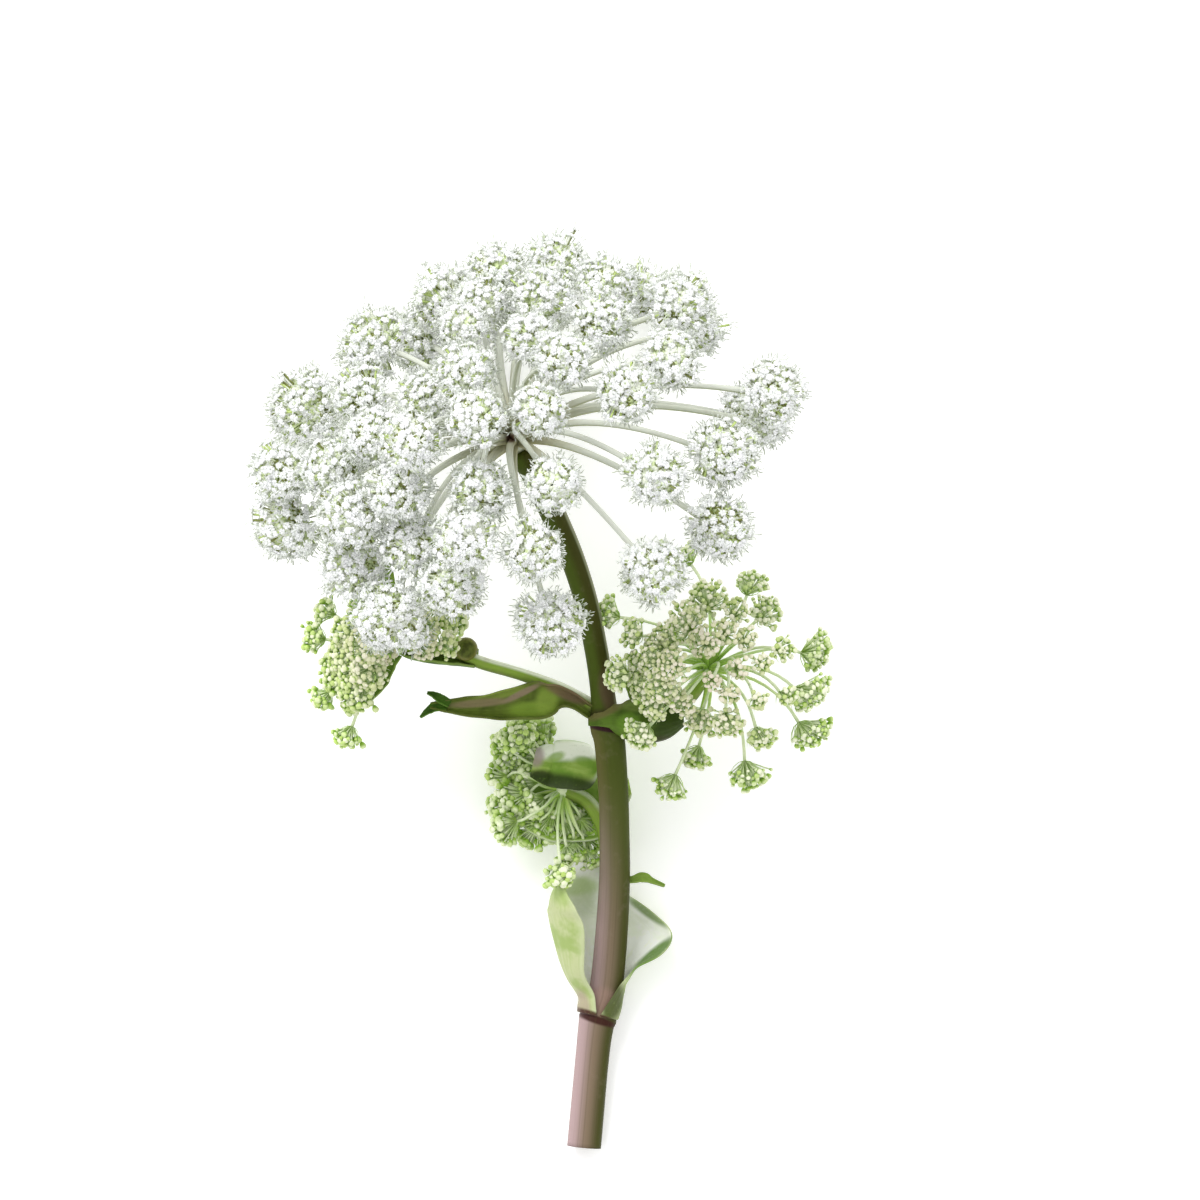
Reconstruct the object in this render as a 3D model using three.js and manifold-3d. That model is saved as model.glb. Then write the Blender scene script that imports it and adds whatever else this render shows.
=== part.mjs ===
// Angelica in flower, cut and laid down: one white umbel, three side shoots in bud, and their leaf sheaths.
// Millimetres. +X to the right, +Y from the cut end towards the flowers, +Z up from the surface it lies on.

import * as THREE from 'three';
import { ConvexHull } from 'three/addons/math/ConvexHull.js';
import { mergeVertices } from 'three/addons/utils/BufferGeometryUtils.js';
import Module from 'manifold-3d';

const wasm = await Module();
wasm.setup();

// Places are read from a photograph taken straight down on the plant, in its pixels.
const MM_PER_PX = 0.27;
const MIDDLE_PX = [545, 691]; // the middle of the plant's outline, which is the origin
const GAP = 0.35; // between pieces that touch

// The stem: [x px, y px, height of its axis, diameter in mm], from the cut end to the umbel.
const STEM = [
  [584, 1147, 4.35, 9.2],
  [592, 1060, 6.0, 9.1],
  [596, 1026, 7.0, 9.6],
  [598, 1018, 7.3, 10.2],
  [600, 1008, 7.8, 9.3],
  [606, 988, 9.1, 9.0],
  [611, 940, 13.1, 8.8],
  [614.5, 880, 18.9, 8.4],
  [614.5, 830, 24.0, 8.1],
  [613.5, 795, 27.4, 8.1],
  [610, 745, 31.6, 8.4],
  [606, 726, 33.1, 8.7],
  [604.5, 713, 34.1, 7.8],
  [603.5, 700, 35.1, 6.8],
  [598, 660, 38.0, 6.4],
  [587, 605, 42.0, 6.4],
  [573, 560, 45.6, 6.6],
  [556, 520, 49.0, 6.9],
  [536, 478, 53.0, 7.0],
  [520, 450, 56.2, 6.8],
];
const STEM_SIDES = 10;
const STEM_STEPS = 22;

// The white umbel: its centre, and its heads as [x px, y px, radius px, how far forward].
// A head stands on a sphere of the rays' length: 1 is its near side, -1 its far side, 0 its edge.
const UMBEL = { centrePx: [515, 441], height: 57, rayLength: 64, hubRadius: 3.6, rayRadius: 1.2, arch: 0.25 };
const WHITE_HEADS = [
  [555, 264, 32, 'rests'], [497, 272, 29, -0.5], [447, 298, 32, -0.8], [479, 303, 27, -0.2],
  [500, 326, 27, -0.6], [426, 340, 34, 'rests'], [374, 344, 35, -0.5], [462, 326, 25, 0.1],
  [543, 297, 33, -0.2], [529, 337, 28, 0.4], [605, 289, 35, -0.75], [602, 322, 30, 0.3],
  [642, 292, 29, 'rests'], [680, 303, 35, 0.2], [697, 328, 27, -0.9], [670, 358, 32, 0.7],
  [627, 390, 32, 0.9], [562, 359, 30, 0.85], [538, 411, 30, 0.9], [465, 373, 31, 0.8],
  [426, 400, 30, 0.2], [475, 419, 30, 0.92], [362, 396, 31, -0.3], [308, 412, 42, 'rests'],
  [372, 438, 29, 0.65], [411, 442, 31, 0.95], [333, 468, 34, 0.6], [281, 470, 31, 0.1],
  [289, 525, 37, 0.6], [350, 515, 33, 0.8], [350, 566, 33, 0.5], [400, 489, 32, 0.7],
  [480, 491, 32, 0.85], [412, 545, 32, 0.6], [464, 540, 32, 0.95], [452, 588, 31, 0.8],
  [389, 616, 35, 0.9], [553, 482, 31, 0.9], [533, 552, 32, 0.95], [549, 624, 36, 0.9],
  [771, 390, 36, 0], [740, 413, 31, -0.8], [722, 454, 36, 0.7], [659, 476, 34, 0.95],
  [720, 527, 35, 0.8], [655, 571, 33, 0.9], [766, 424, 24, -0.7], [411, 634, 17, 0.5],
];

// A head of flowers or buds: points spread evenly over a ball, each raised to a peak, with a valley between them.
const FLOWERS = { count: 22, valley: 0.82, neck: 0.7, jitter: 0.16, unevenness: 0.07 };
const BUDS = { count: 9, valley: 0.84, neck: 0.6, jitter: 0.2, unevenness: 0.1 };
const RELIEF_PEAK = 1.03;
const SIMPLIFY = 0.2; // slivers left where bodies join are merged away below this
const RESTING_HEIGHT = 0.9; // of a resting head's centre, as a share of its radius

const COLOURS = {
  stem: 0x8b7c68, rays: 0xb9bd97, flowers: 0xf1f1ee, buds: 0x8fae5c, leaf: 0x86a050, paleSheath: 0xa9b98a,
};

// Side shoots in bud, each as its stalk [x px, y px, height, radius mm], its umbel's centre and its heads.
const RIGHT_SHOOT = {
  stalk: [[618, 716, 32, 2.0], [650, 711, 31, 2.3], [684, 700, 30.5, 2.3], [706, 672, 30, 2.2]],
  rayLength: 32, rayRadius: 0.65, hubRadius: 2.6, arch: 0.28,
  heads: [
    [752, 585, 15, 0.2], [765, 613, 15, 0.5], [708, 600, 18, 0.7], [690, 556, 12, -0.8], [736, 612, 14, 0.9],
    [689, 624, 18, 0.9], [708, 643, 16, 0.95], [727, 632, 13, 0.9], [746, 639, 13, 0.9], [611, 612, 14, 0.8],
    [635, 632, 13, 0.7], [619, 674, 15, 0.8], [671, 639, 15, 0.6], [654, 661, 15, 0.7], [673, 663, 14, 0.9],
    [664, 684, 17, 0.8], [683, 700, 15, 0.7], [655, 705, 15, 0.9], [642, 733, 16, 0.8], [702, 718, 16, 0.6],
    [714, 677, 12, 0.95], [735, 668, 13, 0.9], [729, 691, 13, 0.9], [728, 720, 15, 0.6], [698, 756, 14, -0.2],
    [672, 786, 16, 0.3], [750, 773, 18, 0.3], [762, 735, 14, 0.5], [757, 700, 11, 0.9], [811, 729, 19, 0.3],
    [808, 691, 19, 0.4], [786, 694, 10, 0.7], [814, 650, 18, 0.3], [782, 648, 13, 0.8], [761, 662, 12, 0.9],
  ],
  leaves: [{
    opens: [0, 0, 1],
    stations: [
      [646, 712, 30.5, 2.0, 1.6, 60, 60], [640, 697, 29.4, 3.2, 1.6, 60, 60], [635, 682, 28.6, 3.0, 1.4, 60, 60],
      [632, 669, 28, 1.2, 0.8, 60, 60],
    ],
  }],
};
const LEFT_SHOOT = {
  stalk: [[594, 707, 33.5, 1.9], [580, 699, 33.2, 1.9], [556, 687, 32.8, 1.85], [520, 674, 33, 1.7],
    [482, 663, 32.4, 1.75], [462, 655, 31.8, 1.6], [436, 649, 31, 1.5], [398, 648, 30, 1.6]],
  rayLength: 26, rayRadius: 0.65, hubRadius: 2.0, arch: 0.12,
  heads: [
    [327, 612, 14, 0.2], [316, 639, 17, 0.4], [344, 628, 17, 0.6], [366, 645, 17, 0.8], [343, 655, 18, 0.5],
    [368, 670, 17, 0.8], [336, 680, 17, 0.4], [357, 692, 18, 0.7], [320, 700, 12, 0], [348, 734, 15, 0.3],
    [429, 622, 14, 0.7], [452, 620, 15, 0.5], [424, 647, 12, 0.9], [445, 643, 12, 0.9], [364, 607, 13, -0.4],
  ],
  leaves: [{
    opens: [0.4, 0, 1],
    stations: [
      [400, 650, 30.0, 1.4, 1.4, 60, 60], [396, 622, 34.0, 1.9, 1.4, 60, 60], [391, 590, 37.5, 2.1, 1.4, 60, 60],
      [388, 566, 39.5, 1.8, 1.2, 60, 60], [386, 548, 40.5, 0.7, 0.6, 60, 60],
    ],
  }, {
    opens: [0.2, 0.3, 1],
    stations: [
      [398, 651, 30.0, 1.6, 1.8, 80, 60], [386, 663, 29.0, 2.8, 2.4, 80, 60], [377, 681, 28.6, 2.8, 2.4, 80, 60],
      [367, 699, 28.6, 1.2, 1.4, 70, 60],
    ],
  }],
};
const BACK_SHOOT = {
  stalk: [[604, 984, 2.8, 1.3], [607, 930, 5.0, 1.9], [608, 880, 9.4, 2.0], [604, 832, 12.0, 2.0],
    [588, 802, 11.5, 2.0], [564, 790, 11, 1.9]],
  rayLength: 28, rayRadius: 0.65, hubRadius: 2.2, arch: 0.1,
  heads: [
    [520, 738, 19, 0], [512, 765, 17, 0], [516, 794, 18, 0], [508, 828, 16, 0.1], [533, 832, 16, 0.1],
    [560, 873, 14, 0.95], [588, 858, 12, 0], [567, 856, 12, 0.1], [540, 726, 12, 0.1],
  ],
  leaves: [],
};

// Leaf sheaths: gutters along stations [x px, y px, height, half width, depth, wrap in degrees on either side].
const SHEATH_THICKNESS = 0.9;
const LOWER_SHEATH = {
  opens: [0, 0, 1],
  stations: [
    [600, 1006, 7.9, 5.6, 5.6, 150, 140], [602.5, 995, 8.6, 5.7, 6.4, 151, 128],
    [596.5, 979, 9.8, 7.8, 8.3, 157, 108], [598.5, 961, 11.3, 11.0, 10.6, 160, 92],
    [605, 941, 13.0, 15.0, 12.8, 158, 84], [610.5, 925, 14.0, 17.2, 13.8, 152, 80],
    [611.5, 911, 15.4, 16.8, 14.2, 146, 46], [611.5, 896, 17.0, 16.3, 13.9, 135, 17],
    [610.5, 884, 18.4, 14.8, 13.0, 124, 6], [610, 872, 19.6, 12.4, 12.0, 112, 2],
    [610, 861, 20.8, 9.8, 11.4, 100, 2],
  ],
};
const BOAT_LEAF = {
  opens: [0, 0.25, 1],
  stations: [
    [592, 712, 36.0, 1.5, 2.0, 100, 100], [568, 701, 37.4, 1.9, 2.4, 100, 100],
    [546, 701, 38.6, 4.4, 3.4, 95, 95], [515, 703, 38.4, 4.1, 3.4, 95, 90], [485, 706, 37.6, 3.1, 3.0, 90, 85],
    [457, 706, 36.8, 2.2, 2.2, 85, 85], [441, 706, 36.2, 0.9, 1.4, 80, 80], [426, 705, 35.6, 1.6, 1.0, 70, 70],
  ],
};
const POUCH = {
  opens: [0, 0.6, -0.8],
  stations: [
    [588, 717, 34.5, 1.2, 5.4, 60, 60], [604, 716, 34.5, 2.6, 5.4, 70, 80], [620, 716, 34.5, 4.6, 5.6, 80, 95],
    [641, 720, 34.5, 6.1, 5.9, 90, 105], [657, 720, 34.2, 5.7, 5.6, 90, 105], [671, 718, 33.8, 4.7, 4.8, 85, 100],
    [684, 716, 33.4, 2.2, 2.6, 75, 85],
  ],
};
const LEFT_SHEATH = {
  opens: [0, 0.3, 1],
  stations: [
    [477, 658, 33.0, 2.4, 3.4, 95, 95], [458, 654, 32.6, 2.9, 3.8, 100, 80], [434, 651, 32.0, 3.1, 4.2, 100, 60],
    [412, 648, 31.4, 2.7, 4.0, 95, 50], [401, 646, 31.0, 1.8, 3.2, 80, 45],
  ],
};
const KNOB = { px: [466, 649], height: 34.0, radius: 2.9 };
const BACK_SHEATH = {
  opens: [0, 0, 1],
  stations: [
    [630, 787, 14.0, 2.0, 2.6, 80, 80], [614, 790, 12.6, 8.0, 6.0, 88, 110], [592, 793, 12.0, 12.4, 7.6, 92, 148],
    [566, 791, 12.0, 13.6, 7.8, 94, 158], [548, 790, 12.0, 12.8, 7.4, 90, 157], [536, 786, 12.2, 9.6, 6.4, 60, 150],
    [528, 782, 12.6, 5.6, 4.6, 30, 140],
  ],
};
const LEAF_TIP = {
  opens: [0, 0.5, 1],
  stations: [
    [622, 878, 17.6, 1.2, 1.0, 60, 60], [636, 876, 17.2, 1.5, 1.0, 60, 60], [650, 880, 17.0, 1.2, 1.0, 60, 60],
    [665, 885, 16.8, 0.6, 0.6, 60, 60],
  ],
};

const place = ([x, y], z) => new THREE.Vector3(
  (x - MIDDLE_PX[0]) * MM_PER_PX, (MIDDLE_PX[1] - y) * MM_PER_PX, z);

// A repeatable random draw, so that the plant grows the same way each time.
function draws(seed) {
  let state = seed * 2654435761 % 4294967296;
  return () => {
    state = (state * 1664525 + 1013904223) % 4294967296;
    return state / 4294967296;
  };
}

function solidOf(geometry) {
  const bare = new THREE.BufferGeometry();
  bare.setAttribute('position', geometry.getAttribute('position'));
  bare.setIndex(geometry.getIndex());
  const merged = mergeVertices(bare, 1e-4);
  return new wasm.Manifold(new wasm.Mesh({
    numProp: 3,
    vertProperties: merged.getAttribute('position').array,
    triVerts: new Uint32Array(merged.getIndex().array),
  }));
}

function geometryOf(solid) {
  const { vertProperties, triVerts } = solid.getMesh();
  return new THREE.BufferGeometry()
    .setAttribute('position', new THREE.BufferAttribute(new Float32Array(vertProperties), 3))
    .setIndex(new THREE.BufferAttribute(new Uint32Array(triVerts), 1));
}

// A cylinder bent along a line of points, with a radius for each point.
function stalk(points, radii, sides, steps) {
  const curve = new THREE.CatmullRomCurve3(points);
  const frames = curve.computeFrenetFrames(steps, false);
  const cylinder = new THREE.CylinderGeometry(1, 1, 1, sides, steps);
  const position = cylinder.getAttribute('position');
  const lengths = curve.getLengths(200);
  const total = lengths[lengths.length - 1];
  const knots = points.map((_, i) => lengths[Math.round(i / (points.length - 1) * 200)] / total);
  const radiusAt = (u) => {
    const i = Math.max(1, knots.findIndex((k) => k >= u - 1e-6));
    return THREE.MathUtils.mapLinear(u, knots[i - 1], knots[i], radii[i - 1], radii[i]);
  };
  for (let i = 0; i < position.count; i++) {
    const step = Math.round((position.getY(i) + 0.5) * steps);
    const radius = radiusAt(step / steps);
    const p = curve.getPointAt(step / steps)
      .addScaledVector(frames.normals[step], position.getX(i) * radius)
      .addScaledVector(frames.binormals[step], -position.getZ(i) * radius);
    position.setXYZ(i, p.x, p.y, p.z);
  }
  return solidOf(cylinder);
}

// Evenly spread directions, the first of them straight down towards the stalk.
function spread(count, jitter, draw) {
  const golden = Math.PI * (3 - Math.sqrt(5));
  return Array.from({ length: count }, (_, i) => {
    const z = -1 + 2 * i / (count - 1);
    const r = Math.sqrt(1 - z * z);
    const direction = new THREE.Vector3(r * Math.cos(golden * i), r * Math.sin(golden * i), z);
    const step = new THREE.Vector3(draw() - 0.5, draw() - 0.5, draw() - 0.5).multiplyScalar(i ? jitter : 0);
    return direction.add(step).normalize();
  });
}

// One head: its florets or buds are peaks in the relief of a ball, drawn in towards the stalk below.
function head(centre, outward, radius, kind, seed) {
  const draw = draws(seed);
  const peaks = spread(kind.count, kind.jitter, draw);
  const reach = (z) => THREE.MathUtils.lerp(kind.neck, 1, THREE.MathUtils.smoothstep(z, -1, -0.1));
  const turn = new THREE.Quaternion().setFromUnitVectors(new THREE.Vector3(0, 0, 1), outward);
  const set = (direction, share) => direction.clone()
    .multiplyScalar(radius * share * reach(direction.z)).applyQuaternion(turn).add(centre);

  const faceBeside = new Map();
  const valleys = [];
  new ConvexHull().setFromPoints(peaks).faces.forEach((face, f) => {
    const corners = [face.edge, face.edge.next, face.edge.prev].map((edge) => peaks.indexOf(edge.head().point));
    const [a, b, c] = corners;
    const ordered = [c, a, b];
    ordered.forEach((from, k) => faceBeside.set(`${from},${ordered[(k + 1) % 3]}`, f));
    valleys.push(peaks[a].clone().add(peaks[b]).add(peaks[c]).normalize());
  });
  const heights = peaks.map((_, i) => RELIEF_PEAK - (i ? kind.unevenness * draw() : 0));
  const points = [...peaks.map((p, i) => set(p, heights[i])), ...valleys.map((v) => set(v, kind.valley))];
  const index = [];
  for (const [edge, left] of faceBeside) {
    const [from, to] = edge.split(',').map(Number);
    const right = faceBeside.get(`${to},${from}`);
    index.push(from, peaks.length + right, peaks.length + left);
  }
  const geometry = new THREE.BufferGeometry().setFromPoints(points).setIndex(index);
  return solidOf(geometry);
}

// Heads that would touch are moved apart in height, which the photograph leaves free.
function settle(heads) {
  const rounds = 400;
  for (let n = 0; n < rounds; n++) {
    for (let i = 0; i < heads.length; i++) {
      for (let j = i + 1; j < heads.length; j++) {
        const [a, b] = [heads[i], heads[j]];
        const room = (a.radius + b.radius) * RELIEF_PEAK + GAP;
        const flat = Math.hypot(a.centre.x - b.centre.x, a.centre.y - b.centre.y);
        const apart = Math.abs(a.centre.z - b.centre.z);
        if (Math.hypot(flat, apart) >= room) continue;
        const push = (Math.sqrt(room * room - flat * flat) - apart) * 0.52;
        const [low, high] = a.centre.z < b.centre.z ? [a, b] : [b, a];
        if (!low.rests) low.centre.z = Math.max(low.radius, low.centre.z - push);
        if (!high.rests) high.centre.z += push;
      }
    }
  }
}

// The line of a ray: it leaves the centre along the umbel's axis, arches over, and is bent clear of other heads.
function rayLine(centre, axis, target, others, radius, arch) {
  const chord = target.centre.clone().sub(centre);
  const end = target.centre.clone().addScaledVector(
    chord.clone().normalize(), -(target.radius * target.neck * RELIEF_PEAK + GAP));
  const crown = centre.clone().lerp(end, 0.45).addScaledVector(axis, arch * chord.length());
  const count = 7;
  const points = new THREE.QuadraticBezierCurve3(centre, crown, end).getSpacedPoints(count);
  const shifts = points.map(() => new THREE.Vector3());
  for (let n = 0; n < 80; n++) {
    for (let k = 1; k < count; k++) {
      for (const other of others) {
        const away = points[k].clone().add(shifts[k]).sub(other.centre);
        const room = other.radius * RELIEF_PEAK + radius + GAP;
        if (away.length() < room) shifts[k].addScaledVector(away.normalize(), (room - away.length() + 0.05) * 0.6);
      }
      if (n < 60) shifts[k].lerp(shifts[k - 1].clone().add(shifts[k + 1]).multiplyScalar(0.5), 0.1);
    }
  }
  return points.map((point, k) => point.add(shifts[k]));
}

const whiteCentre = place(UMBEL.centrePx, UMBEL.height);

function headsAround(centre, rayLength, rows, kind) {
  return rows.map(([x, y, radiusPx, forward]) => {
    const radius = radiusPx * MM_PER_PX;
    const spot = place([x, y], 0);
    const flat = Math.hypot(spot.x - centre.x, spot.y - centre.y);
    const rise = Math.sqrt(Math.max(0, rayLength * rayLength - flat * flat));
    const rests = forward === 'rests';
    spot.z = rests ? radius * RESTING_HEIGHT : Math.max(radius, centre.z + forward * rise);
    return { centre: spot, radius, rests, neck: kind.neck };
  });
}

const whiteHeads = headsAround(whiteCentre, UMBEL.rayLength, WHITE_HEADS, FLOWERS);
settle(whiteHeads);

const stemPoints = STEM.map(([x, y, z]) => place([x, y], z));
const umbelAxis = whiteCentre.clone().sub(stemPoints[stemPoints.length - 3]).normalize();
const ball = (centre, radius, detail) => solidOf(
  new THREE.IcosahedronGeometry(radius, detail).translate(centre.x, centre.y, centre.z));
const onTheSurface = (solid) => solid.trimByPlane([0, 0, 1], 0);
const largest = (solid) => solid.decompose().sort((a, b) => b.volume() - a.volume())[0];

// The stem, or the room it needs where another piece is fitted against it.
function buildStem(room = 0) {
  return stalk(stemPoints, STEM.map(([, , , d]) => d / 2 + room), STEM_SIDES, STEM_STEPS);
}

function buildWhiteRays() {
  const parts = [ball(whiteCentre, UMBEL.hubRadius, 1)];
  whiteHeads.forEach((target) => {
    const others = whiteHeads.filter((other) => other !== target);
    const line = rayLine(whiteCentre, umbelAxis, target, others, UMBEL.rayRadius, UMBEL.arch);
    const radii = line.map((_, i) => UMBEL.rayRadius * (1 - 0.25 * i / (line.length - 1)));
    parts.push(stalk(line, radii, 4, 4));
  });
  return wasm.Manifold.union(parts).simplify(SIMPLIFY);
}

// A side shoot in bud: its stalk, its rays and its heads are one body.
function buildShoot(shoot, seed, room = 0) {
  const stalkPoints = shoot.stalk.map(([x, y, z]) => place([x, y], z));
  const centre = stalkPoints[stalkPoints.length - 1];
  const heads = headsAround(centre, shoot.rayLength, shoot.heads, BUDS);
  settle(heads);
  const axis = centre.clone().sub(stalkPoints[stalkPoints.length - 2]).normalize();
  const parts = [
    stalk(stalkPoints, shoot.stalk.map(([, , , r]) => r + room), 7, 8),
    ball(centre, shoot.hubRadius + room, 0),
  ];
  heads.forEach((target, i) => {
    const others = heads.filter((other) => other !== target);
    const line = rayLine(centre, axis, { ...target, neck: 0 }, others, shoot.rayRadius, shoot.arch);
    parts.push(stalk(line, line.map(() => shoot.rayRadius + room), 3, 2));
    const outward = target.centre.clone().sub(line[line.length - 2]).normalize();
    parts.push(head(target.centre, outward, target.radius + room, BUDS, seed + i));
  });
  shoot.leaves.forEach((leaf) => parts.push(sheath(leaf, 4, 2)));
  return wasm.Manifold.union(parts).simplify(SIMPLIFY);
}

// A sheath: a curved shell whose sections are arcs about its line, open on one side.
function sheath({ opens, stations }, steps, across) {
  const middle = new THREE.CatmullRomCurve3(stations.map(([x, y, z]) => place([x, y], z)));
  const sizes = new THREE.CatmullRomCurve3(stations.map(([, , , half, depth]) => new THREE.Vector3(half, depth, 0)));
  const wraps = new THREE.CatmullRomCurve3(stations.map(([, , , , , left, right]) => new THREE.Vector3(left, right, 0)));
  const outer = [];
  const inner = [];
  for (let i = 0; i <= steps; i++) {
    const t = i / steps;
    const tangent = middle.getTangent(t);
    const open = new THREE.Vector3(...opens).normalize();
    const side = tangent.clone().cross(open).normalize();
    const { x: half, y: depth } = sizes.getPoint(t);
    const { x: left, y: right } = wraps.getPoint(t);
    for (let k = 0; k <= across; k++) {
      const angle = THREE.MathUtils.degToRad(THREE.MathUtils.lerp(-left, right, k / across));
      const at = (extra) => middle.getPoint(t)
        .addScaledVector(side, (half + extra) * Math.sin(angle))
        .addScaledVector(open, -(depth + extra) * Math.cos(angle));
      outer.push(at(SHEATH_THICKNESS / 2));
      inner.push(at(-SHEATH_THICKNESS / 2));
    }
  }
  const row = across + 1;
  const index = [];
  const skin = (base, flip) => {
    for (let i = 0; i < steps; i++) {
      for (let k = 0; k < across; k++) {
        const [a, b, c, d] = [i * row + k, i * row + k + 1, (i + 1) * row + k + 1, (i + 1) * row + k]
          .map((v) => v + base);
        index.push(...(flip ? [a, c, b, a, d, c] : [a, b, c, a, c, d]));
      }
    }
  };
  const count = outer.length;
  skin(0, true);
  skin(count, false);
  const rim = [];
  for (let k = 0; k < across; k++) rim.push(k);
  for (let i = 0; i < steps; i++) rim.push(i * row + across);
  for (let k = across; k > 0; k--) rim.push(steps * row + k);
  for (let i = steps; i > 0; i--) rim.push(i * row);
  rim.forEach((a, n) => {
    const b = rim[(n + 1) % rim.length];
    index.push(a, b, b + count, a, b + count, a + count);
  });
  return solidOf(new THREE.BufferGeometry().setFromPoints([...outer, ...inner]).setIndex(index));
}

const plant = new THREE.Group();
function add(name, solid, colour, roughness = 0.6) {
  const material = new THREE.MeshStandardMaterial({ color: colour, roughness, metalness: 0 });
  const mesh = new THREE.Mesh(geometryOf(solid), material);
  mesh.name = name;
  plant.add(mesh);
}

const stemRoom = buildStem(GAP);
const hubRoom = ball(whiteCentre, UMBEL.hubRadius + GAP, 1);
const rays = buildWhiteRays();
const rightShoot = largest(buildShoot(RIGHT_SHOOT, 100).subtract(stemRoom));
const leftShoot = largest(buildShoot(LEFT_SHOOT, 200).subtract(stemRoom));
const backShoot = largest(buildShoot(BACK_SHOOT, 300).subtract(stemRoom));

add('main_stem', onTheSurface(largest(buildStem().subtract(hubRoom))), COLOURS.stem);
add('umbel_rays', rays, COLOURS.rays);
whiteHeads.forEach((target, i) => {
  const outward = target.centre.clone().sub(whiteCentre).normalize();
  const name = `umbellule_${String(i + 1).padStart(2, '0')}`;
  add(name, onTheSurface(head(target.centre, outward, target.radius, FLOWERS, i + 1)), COLOURS.flowers);
});
add('right_shoot', rightShoot, COLOURS.buds);
add('left_shoot', leftShoot, COLOURS.buds);
add('back_shoot', backShoot, COLOURS.buds);

const leftRoom = buildShoot(LEFT_SHOOT, 200, GAP);
const rightRoom = buildShoot(RIGHT_SHOOT, 100, GAP);
const backRoom = buildShoot(BACK_SHOOT, 300, GAP);
const fitted = (solid, ...rooms) => largest(rooms.reduce((rest, room) => rest.subtract(room), solid))
  .simplify(SIMPLIFY);
add('lower_sheath', fitted(onTheSurface(sheath(LOWER_SHEATH, 10, 9)), stemRoom, backRoom), COLOURS.paleSheath);
add('boat_leaf', fitted(sheath(BOAT_LEAF, 7, 6), stemRoom, leftRoom), COLOURS.leaf);
add('pouch', fitted(sheath(POUCH, 6, 7), stemRoom, rightRoom), COLOURS.leaf);
const leftSheath = wasm.Manifold.union([
  sheath(LEFT_SHEATH, 4, 6), ball(place(KNOB.px, KNOB.height), KNOB.radius, 1)]);
add('left_sheath', fitted(leftSheath, leftRoom), COLOURS.leaf);
add('back_sheath', fitted(sheath(BACK_SHEATH, 6, 8), stemRoom, backRoom), COLOURS.leaf);
add('leaf_tip', fitted(sheath(LEAF_TIP, 3, 2), stemRoom), COLOURS.leaf);

export default plant;
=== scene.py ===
import math
import random

import bmesh
import bpy
import numpy as np
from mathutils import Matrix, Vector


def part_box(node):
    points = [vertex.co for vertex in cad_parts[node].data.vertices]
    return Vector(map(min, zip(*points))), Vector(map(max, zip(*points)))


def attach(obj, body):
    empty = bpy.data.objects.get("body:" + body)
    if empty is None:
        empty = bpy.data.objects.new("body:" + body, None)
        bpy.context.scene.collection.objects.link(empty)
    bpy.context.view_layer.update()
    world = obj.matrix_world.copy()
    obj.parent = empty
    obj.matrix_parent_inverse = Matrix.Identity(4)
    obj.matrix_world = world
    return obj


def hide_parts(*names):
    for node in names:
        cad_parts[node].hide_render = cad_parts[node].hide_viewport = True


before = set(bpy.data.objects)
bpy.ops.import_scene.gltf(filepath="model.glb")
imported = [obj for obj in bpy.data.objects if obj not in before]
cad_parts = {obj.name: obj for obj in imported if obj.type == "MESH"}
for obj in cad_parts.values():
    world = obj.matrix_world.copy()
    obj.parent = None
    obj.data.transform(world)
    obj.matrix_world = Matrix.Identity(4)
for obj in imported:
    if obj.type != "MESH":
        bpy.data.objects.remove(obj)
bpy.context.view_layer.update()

print("frame loaded:", len(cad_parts), "nodes")

# Lengths are in millimetres until a piece is built, which turns them into metres.
metresPerMm = 0.001
picture = {"mmPerPx": 0.27, "originPx": (545, 691), "middlePx": (600, 600), "sidePx": 1200}
contact = {"gap": 0.35, "room": 1.03, "rounds": 400, "push": 0.52}  # how heads are kept apart in the source
turnRange = 6.0  # radians, nearly a full turn


def place(x, y, height):  # a pixel of the photograph, taken straight down, and a height
    left, top = picture["originPx"]
    return np.array([(x - left) * picture["mmPerPx"], (top - y) * picture["mmPerPx"], height])


def unit(vector):
    return vector / np.linalg.norm(vector, axis=-1, keepdims=True)


def smooth(value, low, high):  # 0 below low, 1 above high, smooth between
    share = np.clip((value - low) / (high - low), 0, 1)
    return share * share * (3 - 2 * share)


def alongCurve(rows, share):  # smooth values between the rows, at shares from 0 to 1 of the way
    rows = np.asarray(rows, float)
    rows = np.vstack([2 * rows[0] - rows[1], rows, 2 * rows[-1] - rows[-2]])
    spot = np.clip(np.asarray(share, float), 0, 1) * (len(rows) - 3)
    k = np.minimum(spot.astype(int), len(rows) - 4)
    t = (spot - k)[:, None]
    a, b, c, d = rows[k], rows[k + 1], rows[k + 2], rows[k + 3]
    bend = (2 * a - 5 * b + 4 * c - d) * t ** 2 + (3 * b - a - 3 * c + d) * t ** 3
    return 0.5 * (2 * b + (c - a) * t + bend)


def evenLine(rows, count, fineSteps=400):  # the same curve in even steps; columns after the third go along
    fine = alongCurve(rows, np.linspace(0, 1, fineSteps))
    lengths = np.concatenate([[0], np.cumsum(np.linalg.norm(np.diff(fine[:, :3], axis=0), axis=1))])
    steps = np.linspace(0, lengths[-1], count)
    return np.column_stack([np.interp(steps, lengths, column) for column in fine.T])


def spread(count, lowest):  # directions evenly over a ball, from straight up down to a height of lowest
    golden = math.pi * (3 - math.sqrt(5))
    height = 1 - (np.arange(count) + 0.5) / count * (1 - lowest)
    flat = np.sqrt(1 - height ** 2)
    turn = golden * np.arange(count)
    return np.column_stack([flat * np.cos(turn), flat * np.sin(turn), height])


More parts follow.
